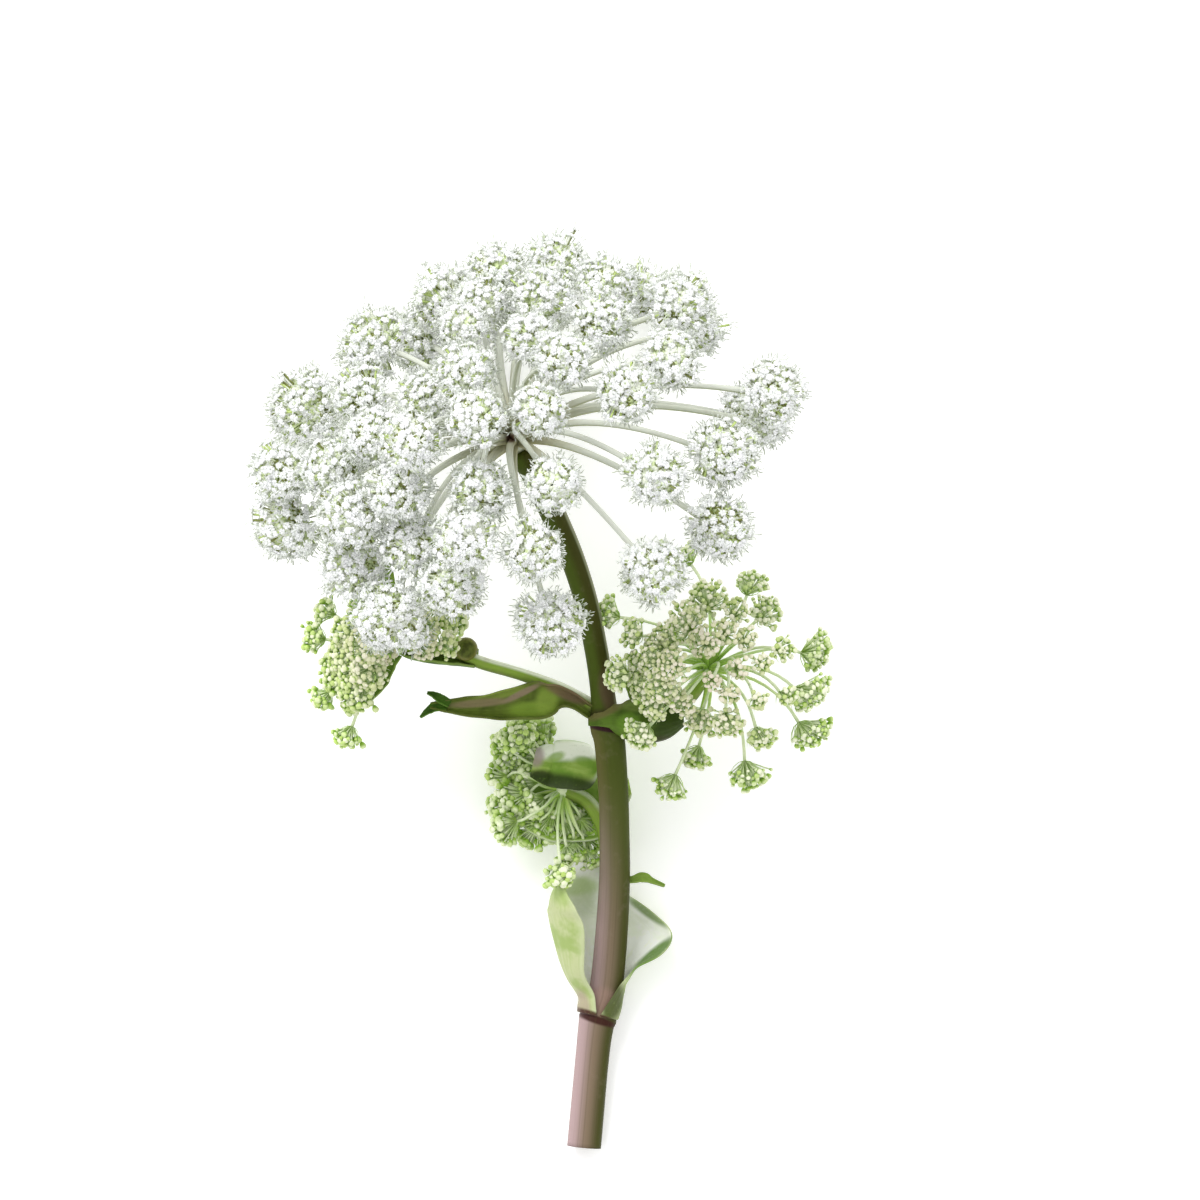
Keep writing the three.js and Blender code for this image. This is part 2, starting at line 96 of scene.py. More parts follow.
def turnTo(axis):  # the three directions of a frame whose third one is axis, as the rows of a matrix
    axis = unit(np.asarray(axis, float))
    helper = np.array([0, 0, 1.0]) if abs(axis[2]) < 0.9 else np.array([1.0, 0, 0])  # never along the axis
    side = unit(np.cross(helper, axis))
    return np.array([side, np.cross(axis, side), axis])


def around(points, angle):  # turned about Z
    c, s = math.cos(angle), math.sin(angle)
    return points @ np.array([[c, s, 0], [-s, c, 0], [0, 0, 1]])


def jitter(dice, size):  # a small random step in any direction
    return np.array([dice.gauss(0, size) for _ in range(3)])


# Modelling by hand, from code.
def startFresh():
    bpy.ops.object.select_all(action="DESELECT")


def edit(thing):
    startFresh()
    thing.select_set(True)
    bpy.context.view_layer.objects.active = thing
    bpy.ops.object.mode_set(mode="EDIT")


def choose(thing, test):  # in edit mode, selects the points that pass the test and nothing else
    mesh = bmesh.from_edit_mesh(thing.data)
    for part in (*mesh.verts, *mesh.edges, *mesh.faces):
        part.select_set(False)
    for vertex in mesh.verts:
        vertex.select_set(bool(test(vertex.co)))
    mesh.select_flush(True)
    bmesh.update_edit_mesh(thing.data)


def leaveEdit():
    bpy.ops.object.mode_set(mode="OBJECT")


def pointsOf(thing):
    points = np.empty(len(thing.data.vertices) * 3)
    thing.data.vertices.foreach_get("co", points)
    return points.reshape(-1, 3)


def fromLowest(face):  # the corners of a face, from its lowest number on
    corners = list(face.vertices)
    first = corners.index(min(corners))
    return corners[first:] + corners[:first]


def taken(thing, along):  # the shape of a modelled object as arrays; the object itself is removed
    points = pointsOf(thing)
    ordered = bpy.data.meshes.new("ordered")  # extruding leaves the faces in another order each run
    ordered.from_pydata(points.tolist(), [], sorted(fromLowest(face) for face in thing.data.polygons))
    ordered.calc_loop_triangles()
    faces = np.array([t.vertices for t in ordered.loop_triangles], int)
    bpy.data.objects.remove(thing)
    bpy.data.meshes.remove(ordered)
    return {"points": points, "faces": faces, "finishes": np.zeros(len(faces), int), "along": along(points)}


def markFacing(mesh):  # which way each point faces, for finishes that differ above and below; most of them use it for painted light and shade
    normals = np.empty(len(mesh.vertices) * 3, np.float32)
    mesh.vertex_normals.foreach_get("vector", normals)
    mesh.attributes.new("facing", "FLOAT_VECTOR", "POINT").data.foreach_set("vector", normals)


class Bunch:  # gathers copies of small shapes into one mesh
    def __init__(self, *marks):
        self.marks = ("along", *marks)
        self.parts = []
        self.count = 0

    def add(self, shape, points, finish=None, **values):
        finishes = shape["finishes"] if finish is None else np.full(len(shape["faces"]), finish)
        given = [np.broadcast_to(values.get(mark, 0.0), len(points)) for mark in self.marks[1:]]
        marks = np.column_stack([shape["along"], *given])
        self.parts.append((points, shape["faces"] + self.count, finishes, marks))
        self.count += len(points)

    def merged(self):
        return [np.concatenate(column) for column in zip(*self.parts)]

    def shape(self):
        points, faces, finishes, marks = self.merged()
        return {"points": points, "faces": faces, "finishes": finishes, "along": marks[:, 0]}

    def build(self, name, paints):
        points, faces, finishes, marks = self.merged()
        mesh = bpy.data.meshes.new(name)
        mesh.from_pydata((points * metresPerMm).tolist(), [], faces.tolist())
        mesh.polygons.foreach_set("material_index", finishes.astype(np.int32))
        for mark, values in zip(self.marks, marks.T.astype(np.float32)):
            mesh.attributes.new(mark, "FLOAT", "POINT").data.foreach_set("value", values)
        markFacing(mesh)
        mesh.shade_smooth()
        for paint in paints:
            mesh.materials.append(paint.material)
        piece = bpy.data.objects.new(name, mesh)
        bpy.context.scene.collection.objects.link(piece)
        return piece


def handIn(piece, slot, *nodes):  # puts the piece under the root body and hides the CAD nodes that it stands for; slot is not used
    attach(piece, "root")
    if nodes:
        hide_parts(*nodes)


def bent(shape, line, radii):  # lays a unit stalk, which stands on +Z with radius 1, along a line
    steps = np.linspace(0, 1, len(line))
    tangents = unit(np.gradient(line, axis=0))
    helper = np.array([0, 0, 1.0]) if abs(tangents[0][2]) < 0.9 else np.array([0, 1.0, 0])
    tops = []
    for tangent in tangents:
        helper = unit(helper - tangent * helper.dot(tangent))
        tops.append(helper)
    tops = np.array(tops)
    sides = np.cross(tops, tangents)
    z = np.clip(shape["points"][:, 2], 0, 1)
    middle, top, side = (np.column_stack([np.interp(z, steps, rows[:, k]) for k in range(3)])
                         for rows in (line, tops, sides))
    radius = np.interp(z, np.linspace(0, 1, len(radii)), radii)[:, None]
    return middle + (side * shape["points"][:, :1] + top * shape["points"][:, 1:2]) * radius


# Shader maths as Python expressions.
class Wire:  # the output of a node; differences and products of wires add Math nodes
    def __init__(self, paint, socket):
        self.paint = paint
        self.socket = socket

    def maths(self, operation, first, second):
        return self.paint.node("Math", {"operation": operation}, {0: first, 1: second})

    def __sub__(self, other):
        return self.maths("SUBTRACT", self, other)

    def __rsub__(self, other):
        return self.maths("SUBTRACT", other, self)

    def __mul__(self, other):
        return self.maths("MULTIPLY", self, other)

    __rmul__ = __mul__


tintStyle = {"outer": 1.25, "inner": 0.55, "through": 10.0}  # where a tint ends and is full, and its depth


class Paint:  # a material, and one method for every node in it
    def __init__(self, name, roughness=0.6, specular=0.1):
        self.material = bpy.data.materials.new(name)
        self.material.use_nodes = True
        self.tree = self.material.node_tree
        self.shader = self.tree.nodes["Principled BSDF"]
        self.shader.inputs["Roughness"].default_value = roughness
        self.shader.inputs["Specular IOR Level"].default_value = specular

    def feed(self, node, values):
        for key, value in values.items():
            if isinstance(value, Wire):
                self.tree.links.new(value.socket, node.inputs[key])
            else:
                node.inputs[key].default_value = value

    def node(self, kind, settings, values, output=0):
        made = self.tree.nodes.new("ShaderNode" + kind)
        for key, value in settings.items():
            setattr(made, key, value)
        self.feed(made, values)
        return Wire(self, made.outputs[output])

    def mark(self, name):
        return self.node("Attribute", {"attribute_name": name}, {}, "Fac")

    def facing(self, axis):  # 0 for X, 1 for Y and 2 for Z
        vector = self.node("Attribute", {"attribute_name": "facing"}, {}, "Vector")
        return self.node("SeparateXYZ", {}, {0: vector}, axis)

    def here(self, axis=None):  # the place on the object, or one axis of it
        where = self.node("TexCoord", {}, {}, "Object")
        return where if axis is None else self.node("SeparateXYZ", {}, {0: where}, axis)

    def leafPlace(self):  # across a leaf and along it
        return self.node("UVMap", {"uv_map": "UVMap"}, {})

    def noise(self, where, scale=1.0):
        return self.node("TexNoise", {}, {"Vector": where, "Scale": scale, "Detail": 3.0, "Roughness": 0.6})

    def spots(self, scale):  # noise in the object's own space; scale is features per metre
        return self.noise(self.here(), scale)

    def grain(self, across, lengthwise):  # noise drawn out along a stalk
        scales = {"across": across, "deep": across, "along": lengthwise}
        values = {k: self.mark(name) * scale for k, (name, scale) in enumerate(scales.items())}
        return self.noise(self.node("CombineXYZ", {}, values))

    def veins(self, across, lengthwise):  # noise drawn out along a leaf
        values = {"Vector": self.leafPlace(), "Scale": (across, lengthwise, 1.0)}
        return self.noise(self.node("Mapping", {}, values))

    def edges(self, width):  # 1 at the long edges of a leaf, 0 from a share of its width inwards
        u = self.node("SeparateXYZ", {}, {0: self.leafPlace()}, 0)
        return self.step(self.node("Math", {"operation": "ABSOLUTE"}, {0: u * 2.0 - 1.0}), 1 - width, 1.0)

    def step(self, value, low, high):
        settings = {"interpolation_type": "SMOOTHSTEP"}
        return self.node("MapRange", settings, {"Value": value, "From Min": low, "From Max": high})

    def mix(self, share, first, second):
        return self.node("Mix", {"data_type": "RGBA"}, {0: share, 6: first, 7: second}, 2)

    def over(self, base, colour, mask, low, high, most=1.0):  # a colour comes in where the mask goes up
        share = self.step(mask, low, high)
        return self.mix(share if most == 1 else share * most, base, colour)

    def tints(self, base, rows):  # soft ellipses [x px, y px, half sizes px, turned, colour, share]
        metresPerPx = picture["mmPerPx"] * metresPerMm
        for x, y, wide, tall, turned, colour, share in rows:
            values = {
                "Vector": self.here(),
                "Location": tuple(place(x, y, 0) * metresPerMm),
                "Rotation": (0, 0, math.radians(turned)),
                "Scale": (wide * metresPerPx, tall * metresPerPx, tintStyle["through"]),
            }
            where = self.node("Mapping", {"vector_type": "TEXTURE"}, values)
            reach = self.node("VectorMath", {"operation": "LENGTH"}, {0: where}, 1)
            inside = self.step(reach, tintStyle["outer"], tintStyle["inner"])
            base = self.mix(inside * share, base, colour)
        return base

    def bump(self, height, strength, depthMm):
        values = {"Height": height, "Strength": strength, "Distance": depthMm * metresPerMm}
        return self.node("Bump", {}, values)

    def finish(self, base, height, strength, depthMm, glow=0.0):  # glow is painted light: an emission that stands in for daylight through thin petals and leaves
        self.shader.inputs["Emission Strength"].default_value = glow
        colours = {"Base Color": base, "Emission Color": base} if glow else {"Base Color": base}
        self.feed(self.shader, {**colours, "Normal": self.bump(height, strength, depthMm)})
        return self


def tone(red, green, blue):  # from the 0 to 255 of a picture to the light that a shader works in
    def light(value):
        share = value / 255
        return share / 12.92 if share <= 0.04045 else ((share + 0.055) / 1.055) ** 2.4
    return (light(red), light(green), light(blue), 1.0)


# Small shapes that repeat.
def modelPetal(style):  # a petal along +X from a point past the middle, with its tip turned up and in
    startFresh()
    base, length = style["petalBase"], style["petalLength"]
    bpy.ops.mesh.primitive_cube_add(size=1.0)
    petal = bpy.context.object
    edit(petal)
    bpy.ops.mesh.select_all(action="SELECT")
    bpy.ops.transform.resize(value=(length, style["petalWidth"], style["petalThick"]))
    bpy.ops.transform.translate(value=(base + length / 2, 0, 0))
    choose(petal, lambda p: p.x < base + length / 2)
    bpy.ops.mesh.merge(type="CENTER")
    choose(petal, lambda p: p.x > base + length / 2)
    bpy.ops.transform.translate(value=(0, 0, style["petalLift"]))
    choose(petal, lambda p: p.x > base + length / 2 and p.z > style["petalLift"])
    bpy.ops.transform.translate(value=(-style["petalCurl"], 0, style["petalCurl"] * 0.5))
    leaveEdit()
    return taken(petal, lambda p: np.clip((p[:, 0] - base) / length, 0, 1))


def modelStamen(style, path):  # a three-sided thread, pointed at its foot, that ends in an anther
    startFresh()
    bpy.ops.mesh.primitive_circle_add(vertices=3, radius=style["threadRadius"], fill_type="NGON")
    stamen = bpy.context.object
    edit(stamen)
    bpy.ops.mesh.select_all(action="SELECT")
    bpy.ops.transform.translate(value=path[0])
    for here, there in zip(path, path[1:]):
        step = tuple(b - a for a, b in zip(here, there))
        bpy.ops.mesh.extrude_region_move(TRANSFORM_OT_translate={"value": step})
    reach = math.dist(here, there)
    beyond = tuple(b + style["antherLength"] * (b - a) / reach for a, b in zip(here, there))
    step = tuple(b - a for a, b in zip(there, beyond))
    bpy.ops.transform.resize(value=(style["antherScale"],) * 3, center_override=there)
    bpy.ops.mesh.extrude_region_move(TRANSFORM_OT_translate={"value": step})
    bpy.ops.mesh.merge(type="CENTER")
    choose(stamen, lambda p: math.dist(p, path[0]) < style["threadRadius"] * 1.1)  # the foot alone
    bpy.ops.mesh.merge(type="CENTER")
    bpy.ops.mesh.select_all(action="SELECT")
    bpy.ops.mesh.normals_make_consistent(inside=False)
    leaveEdit()
    return taken(stamen, lambda p: np.clip(np.linalg.norm(p, axis=1) / math.hypot(*beyond), 0, 1))


def shaped(style):  # the new ball, drawn in below its waist and pressed down at its crown
    ball = bpy.context.object
    edit(ball)
    choose(ball, lambda p: p.z < style["waist"])
    bpy.ops.transform.resize(value=style["drawnIn"], center_override=(0, 0, 0))
    choose(ball, lambda p: p.z > style["crown"])
    bpy.ops.transform.translate(value=(0, 0, -style["pressed"]))
    leaveEdit()
    return taken(ball, lambda p: (p[:, 2] + 1) / 2)


def modelSwelling():  # a round swelling of radius 1, flatter on top
    startFresh()
    bpy.ops.mesh.primitive_ico_sphere_add(subdivisions=3, radius=1.0)
    return shaped({"waist": -0.2, "drawnIn": (0.9, 0.9, 1.08), "crown": 0.8, "pressed": 0.06})


def modelBud():  # a round bud that narrows to its stalk, with a dent where its petals fold in
    startFresh()
    bpy.ops.mesh.primitive_uv_sphere_add(segments=6, ring_count=5, radius=1.0)
    return shaped({"waist": -0.3, "drawnIn": (0.8, 0.8, 1.2), "crown": 0.95, "pressed": 0.3})


def modelStalk(sides, rings, groove=0.0, pointed=False):  # a unit stalk on +Z, with grooves this deep
    startFresh()
    bpy.ops.mesh.primitive_circle_add(vertices=sides, radius=1.0, fill_type="NGON")
    stalk = bpy.context.object
    edit(stalk)
    if groove:
        between = 2 * math.pi / sides
        choose(stalk, lambda p: round(math.atan2(p.y, p.x) / between) % 2)
        bpy.ops.transform.resize(value=(1 - groove, 1 - groove, 1), center_override=(0, 0, 0))
    bpy.ops.mesh.select_all(action="SELECT")
    for _ in range(rings):
        bpy.ops.mesh.extrude_region_move(TRANSFORM_OT_translate={"value": (0, 0, 1 / rings)})
    if pointed:
        choose(stalk, lambda p: p.z < 0.5 / rings)
        bpy.ops.mesh.merge(type="CENTER")
    bpy.ops.mesh.select_all(action="SELECT")
    bpy.ops.mesh.normals_make_consistent(inside=False)
    leaveEdit()
    return taken(stalk, lambda p: p[:, 2])


def modelFloret(style, paths, folded):  # petals 0, stamens 1
    bunch = Bunch()
    petal = modelPetal(style)
    count = style["petals"]
    for k in range(count):
        tilted = petal["points"].copy()
        tilted[:, 2] += folded * tilted[:, 0] ** 2
        tilted[:, 0] *= 1 - style["foldedShorter"] * folded
        bunch.add(petal, around(tilted, 2 * math.pi * k / count), 0)
    for turn, path in paths:
        stamen = modelStamen(style, path)
        bunch.add(stamen, around(stamen["points"], 2 * math.pi * (turn + 0.5) / count), 1)
    return bunch.shape()


floretStyle = {
    "petals": 5, "petalLength": 1.68, "petalWidth": 0.92, "petalThick": 0.42, "petalBase": -0.5,
    "petalLift": 0.2, "petalCurl": 0.34, "foldedShorter": 0.35,
    "threadRadius": 0.11, "antherScale": 1.9, "antherLength": 0.4,
}
# The lines of the stamens, from the floret's middle out and up.
arching = [(0.25, 0, 0.1), (0.8, 0, 1.2), (1.7, 0, 1.6)]
standing = [(0.25, 0, 0.1), (0.45, 0, 1.2), (1.0, 0, 2.1)]
hooked = [(0.25, 0, 0.1), (0.95, 0, 1.4), (0.75, 0, 2.0)]
florets = [
    modelFloret(floretStyle, [(0, arching), (2, standing)], 0.05),
    modelFloret(floretStyle, [(1, standing), (3, arching), (4, hooked)], 0.2),
    modelFloret(floretStyle, [(0, hooked), (1, arching), (3, standing)], 0.12),
    modelFloret(floretStyle, [(2, arching), (4, hooked)], 0.3),
]
innerFloret = modelFloret({**floretStyle, "petalCurl": 0.1}, [], 0.0)
pedicel = modelStalk(3, 1)
pointedPedicel = modelStalk(3, 1, pointed=True)
thread = modelStalk(3, 4)
ribbedRay = modelStalk(12, 18, 0.12)
thinRay = modelStalk(7, 9)
ribbedStalk = modelStalk(20, 40, 0.05)
swelling = modelSwelling()
bud = modelBud()
print("small shapes modelled")


# Finishes of the flowers.
def paintPetals():
    paint = Paint("petalWhite", roughness=0.55)
    white = paint.mix(paint.mark("chance"), tone(252, 252, 254), tone(246, 248, 247))
    # Florets on the lower side of a head are painted greener and darker: painted shade.
    aside = paint.mix(paint.mark("side") * 0.32, white, tone(204, 212, 190))
    patched = paint.over(aside, tone(178, 200, 122), paint.spots(330.0), 0.57, 0.7, 0.65)
    body = paint.over(patched, tone(226, 228, 234), paint.spots(900.0), 0.45, 0.75, 0.2)
    base = paint.over(tone(232, 238, 218), body, paint.mark("along"), 0.25, 0.45)
    # The petals glow a little: painted light that lifts their shade.
    return paint.finish(base, paint.spots(2600.0), 0.2, 0.12, glow=0.07)


def paintStamens():
    paint = Paint("stamenPale", roughness=0.5)
    pale = paint.mix(paint.mark("chance"), tone(228, 232, 226), tone(242, 244, 244))
    # Stamens of florets on the lower side of a head are painted darker: painted shade.
    aside = paint.mix(paint.mark("side") * 0.75, pale, tone(158, 168, 142))
    tipped = paint.over(aside, tone(222, 225, 218), paint.mark("along"), 0.76, 0.86, 0.6)
    base = paint.over(tipped, tone(206, 214, 192), paint.spots(1800.0), 0.5, 0.75, 0.3)
    return paint.finish(base, paint.spots(4000.0), 0.2, 0.05)


def paintFloretGreen():
    paint = Paint("floretGreen", roughness=0.45)
    green = paint.over(tone(202, 222, 140), tone(240, 244, 230), paint.mark("chance"), 0.3, 0.8)
    stalkward = paint.over(tone(186, 202, 140), green, paint.mark("along"), 0.2, 0.9)
    # Pedicels and inner florets of the lowest chance are darkened: partly faded florets, partly painted
    # shade in the gaps between florets.
    fadedAndShaded = paint.over(stalkward, tone(124, 128, 70), paint.mark("chance"), 0.12, 0.06, 0.9)
    base = paint.over(fadedAndShaded, tone(150, 180, 92), paint.spots(1300.0), 0.55, 0.75, 0.3)
    return paint.finish(base, paint.spots(3000.0), 0.2, 0.1)


hubTint = [511, 438, 6, 5, 0, tone(82, 52, 36), 0.9]


def paintRays():
    paint = Paint("rayPale", roughness=0.5)
    pale = paint.mix(paint.mark("chance"), tone(200, 204, 190), tone(216, 219, 210))
    # Painted shade: rays are darker on the side facing -Y, away from the sun, and on their undersides.
    body = paint.over(pale, tone(154, 162, 118), paint.facing(1), -0.3, -0.9, 0.75)
    under = paint.over(body, tone(150, 158, 108), paint.facing(2), -0.1, -0.8, 0.7)
    near = paint.over(under, tone(158, 152, 106), paint.mark("along"), 0.42, 0.05, 0.75)
    lined = paint.over(near, tone(168, 170, 136), paint.grain(5.0, 3.0), 0.52, 0.7, 0.25)
    spotted = paint.over(lined, tone(170, 150, 136), paint.spots(500.0), 0.6, 0.75, 0.2)
    base = paint.tints(spotted, [hubTint])
    return paint.finish(base, paint.grain(9.0, 5.0), 0.3, 0.12)


flowerPaints = [paintPetals(), paintStamens(), paintFloretGreen()]
rayPaint = paintRays()

umbel = {
    "centrePx": (515, 441), "height": 57, "hubRadius": 3.6, "rayRadius": 1.2, "arch": 0.25, "heads": 48,
    "rayTaper": [1.1, 0.9, 0.76, 0.68, 0.64, 0.8], "seed": 100,
    "fuller": 0.05, "fullerFrom": (5, 20),  # heads this far left of the origin are larger than in the source
    "trim": 0.3, "trimRange": (-1, -0.1),  # how flat a head is in the source on the side of its ray
}
rayBend = {  # how a ray arches and is pushed clear of the heads that it passes
    "points": 9, "steps": 41, "crownAt": 0.45, "rounds": 80, "evenedRounds": 60, "extra": 0.05, "push": 0.6,
    "kept": 0.9, "fromNext": 0.05,
}
headStyle = {
    "lowest": -0.62, "spacing": 2.0, "fewest": 9, "shell": 0.86, "tipShare": 0.32, "stalkRadius": 0.42,
    "raised": 0.7, "lowestFacing": 0.4, "scatter": 0.08, "lean": 0.22,
    "lumps": 0.3, "lumpsAround": 4.0, "uneven": 0.065, "opened": (0.8, 1.3), "sizes": (0.82, 1.14),
    "floretFloor": 0.9, "petalFloor": 0.12, "shaded": (-0.55, 0.1),
    "innerShare": 0.5, "innerRaised": 0.3, "innerShell": 0.64, "innerScale": 1.6,
    # An inner floret of chance 0.0 takes the darkened gap colour of floretGreen, which is partly painted
    # shade.
    "innerChances": [0.95, 0.95, 0.95, 0.95, 0.8, 0.5, 0.5, 0.0],
}


def headOf(node):  # centre and radius of a white head, from the box of its CAD node
    low, high = (np.array(corner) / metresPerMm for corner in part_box(node))
    hub = place(*umbel["centrePx"], umbel["height"])
    centre = (low + high) / 2
    for _ in range(3):
        outward = unit(centre - hub)
        full = (smooth(sign * outward, *umbel["trimRange"]) for sign in (1, -1))
        above, below = (1 - umbel["trim"] * (1 - share) for share in full)
        radius = ((high - low) / (above + below))[:2].mean()
        centre = (low + high) / 2 - radius * (above - below) / 2
        if low[2] < 0.01:  # its underside is flattened on the floor
            centre[2] = high[2] - radius * above[2]
    return {"centre": centre, "radius": radius}


def rayLine(start, axis, head, others, thickness, arch, sunk):  # arches over and bends clear of other heads
    chord = head["centre"] - start
    end = head["centre"] - unit(chord) * head["radius"] * sunk
    crown = start + (end - start) * rayBend["crownAt"] + axis * arch * np.linalg.norm(chord)
    t = np.linspace(0, 1, rayBend["points"])[:, None]
    points = (1 - t) ** 2 * start + 2 * t * (1 - t) * crown + t ** 2 * end
    shift = np.zeros_like(points)
    centres = np.array([other["centre"] for other in others])
    rooms = np.array([other["radius"] for other in others]) * contact["room"] + thickness + contact["gap"]
    for n in range(rayBend["rounds"]):
        away = (points + shift)[:, None, :] - centres[None, :, :]
        distance = np.linalg.norm(away, axis=2)
        push = np.clip(rooms - distance + rayBend["extra"], 0, None) * (rooms > distance) * rayBend["push"]
        shift[1:-1] += (away / distance[:, :, None] * push[:, :, None]).sum(axis=1)[1:-1]
        if n < rayBend["evenedRounds"]:
            shift[1:-1] = shift[1:-1] * rayBend["kept"] + (shift[:-2] + shift[2:]) * rayBend["fromNext"]
    return evenLine(points + shift, rayBend["steps"])


def addStalk(bunch, shape, line, radii, finish=0, **marks):  # with marks for the grain along it
    x, y = shape["points"][:, 0], shape["points"][:, 1]
    bunch.add(shape, bent(shape, line, radii), finish, across=-x, deep=y, **marks)


def lumpy(direction, phase, style, dice):  # how far out a floret or bud sits, as a share
    lump = np.sin(direction * style["lumpsAround"] + phase).prod()
    return 1 + style["lumps"] * lump + dice.gauss(0, style["uneven"])


def growHead(bunch, tip, outward, head, dice):  # florets on their pedicels, all round one head
    style = headStyle
    area = 2 * math.pi * (head["radius"] * style["shell"]) ** 2 * (1 - style["lowest"])
    count = max(style["fewest"], round(area / style["spacing"] ** 2))
    phase = np.array([dice.uniform(0, 2 * math.pi) for _ in range(3)])
    directions = spread(count, style["lowest"])
    directions[0] = 0, 0, 1
    for direction in directions @ turnTo(outward):
        direction = unit(direction + jitter(dice, style["scatter"]))
        reach = head["radius"] * style["shell"] * lumpy(direction, phase, style, dice)
        spot = head["centre"] + direction * reach
        spot[2] = max(spot[2], style["floretFloor"])
        lean = jitter(dice, style["lean"])
        facing = unit(unit(spot - tip) * 0.5 + direction * 0.5 + lean)
        shape = dice.choice(florets)
        opened = shape["points"] * np.array([1, 1, dice.uniform(*style["opened"])])
        turned = around(opened, dice.uniform(0, 2 * math.pi)) @ turnTo(facing)
        turned = turned * dice.uniform(*style["sizes"]) + spot
        turned[:, 2] = np.maximum(turned[:, 2], style["petalFloor"])
        chance = dice.random()
        bunch.add(shape, turned, chance=chance, side=smooth(-direction[2], *style["shaded"]))
        line = np.array([tip, spot])
        bunch.add(pointedPedicel, bent(pointedPedicel, line, [style["stalkRadius"]]), 2, chance=chance)
    inner = spread(round(count * style["innerShare"]), style["lowest"] + style["innerRaised"])
    for direction in inner @ turnTo(outward):
        spot = head["centre"] + direction * head["radius"] * style["innerShell"]
        turned = around(innerFloret["points"], dice.uniform(0, turnRange)) @ turnTo(direction)
        turned = turned * style["innerScale"] + spot
        turned[:, 2] = np.maximum(turned[:, 2], style["petalFloor"])
        bunch.add(innerFloret, turned, 2, chance=dice.choice(style["innerChances"]))


def buildWhiteUmbel():
    hub = place(*umbel["centrePx"], umbel["height"])
    nodes = [f"umbellule_{k + 1:02d}" for k in range(umbel["heads"])]
    heads = [headOf(node) for node in nodes]
    fuller = [umbel["fuller"] * smooth(-head["centre"][0], *umbel["fullerFrom"]) for head in heads]
    axis = unit(hub - place(*stemRows[-3][:3]))
    rays = Bunch("chance", "across", "deep")
    for k, (node, head) in enumerate(zip(nodes, heads)):
        dice = random.Random(umbel["seed"] + k)
        others = heads[:k] + heads[k + 1:]
        line = rayLine(hub, axis, head, others, umbel["rayRadius"], umbel["arch"], headStyle["tipShare"])
        radii = umbel["rayRadius"] * np.array(umbel["rayTaper"])
        addStalk(rays, ribbedRay, line, radii, chance=dice.random())
        flowers = Bunch("chance", "side")
        outward = unit(unit(line[-1] - line[-4]) + np.array([0, 0, headStyle["raised"]]))
        outward[2] = max(outward[2], headStyle["lowestFacing"])
        sized = {"centre": head["centre"], "radius": head["radius"] * (1 + fuller[k])}
        growHead(flowers, line[-1], outward, sized, dice)
        handIn(flowers.build(f"florets_{k + 1:02d}", flowerPaints), "flowers", node)
    rays.add(swelling, swelling["points"] * umbel["hubRadius"] + hub, 0, chance=0.5)
    handIn(rays.build("umbelRays", [rayPaint]), "rays", "umbel_rays")


# The stem, as [x px, y px, height, diameter] from the cut end to the umbel.
stemRows = [
    [584, 1147, 4.35, 9.2], [592, 1060, 6.0, 9.1], [596, 1026, 7.0, 9.6], [598, 1018, 7.3, 10.2],
    [600, 1008, 7.8, 9.3], [606, 988, 9.1, 9.0], [611, 940, 13.1, 8.8], [614.5, 880, 18.9, 8.4],
    [614.5, 830, 24.0, 8.1], [613.5, 795, 27.4, 8.1], [610, 745, 31.6, 8.4], [606, 726, 33.1, 8.7],
    [604.5, 713, 34.1, 7.8], [603.5, 700, 35.1, 6.8], [598, 660, 38.0, 6.4], [587, 605, 42.0, 6.4],
    [573, 560, 45.6, 6.6], [556, 520, 49.0, 6.9], [536, 478, 53.0, 7.0], [520, 450, 56.2, 6.8],
]
stemStyle = {
    "sides": 48, "rings": 150, "groove": 0.012, "blendsPx": (980, 760, 716), "blend": 0.002,
    "nodes": [(1020, 2.0, 0.01), (728, 2.5, 0.01)],  # raised rings: y px, half width px, height as a share
    "tints": [
        [605, 716, 22, 8, 0, tone(58, 56, 28), 0.85], [606, 729, 22, 3.2, -10, tone(52, 26, 34), 0.95],
        [608, 690, 10, 22, 10, tone(96, 76, 62), 0.6], [597, 1020, 24, 4.4, -18, tone(58, 30, 26), 0.95],
        [600, 1000, 18, 14, 0, tone(150, 122, 112), 0.5],
    ],
}


def paintStem():
    paint = Paint("stemSkin", roughness=0.45, specular=0.04)
    # Across the stem the colour darkens towards the right: partly the stem's own colour, partly painted
    # shade on the side away from the sun. The pale band along the right edge of the upper stem is a painted
    # highlight.
    across = paint.mark("across")
    upper = paint.over(tone(70, 84, 28), tone(64, 66, 26), across, -0.3, 0.5)
    upperEdgeHighlight = paint.over(upper, tone(140, 144, 116), across, 0.8, 0.97)
    mauve = paint.over(tone(168, 145, 145), tone(120, 104, 86), across, -0.85, 0.1)
    lower = paint.over(mauve, tone(66, 68, 28), across, 0.0, 0.85)
    up = paint.here(1)
    low, high, top = (place(0, y, 0)[1] * metresPerMm for y in stemStyle["blendsPx"])
    middle = paint.over(tone(90, 88, 46), tone(72, 82, 32), across, -0.9, 0.1)
    body = paint.over(lower, middle, up, low, high)
    whole = paint.over(body, upperEdgeHighlight, up, top - stemStyle["blend"], top + stemStyle["blend"])
    under = paint.over(whole, tone(120, 122, 84), paint.facing(2), -0.1, -0.7, 0.6)
    tinted = paint.tints(under, stemStyle["tints"])
    lined = paint.over(tinted, tone(70, 64, 42), paint.grain(7.0, 2.0), 0.5, 0.72, 0.3)
    base = paint.over(lined, tone(150, 132, 118), paint.spots(260.0), 0.55, 0.75, 0.1)
    return paint.finish(base, paint.grain(12.0, 4.0), 0.25, 0.15)


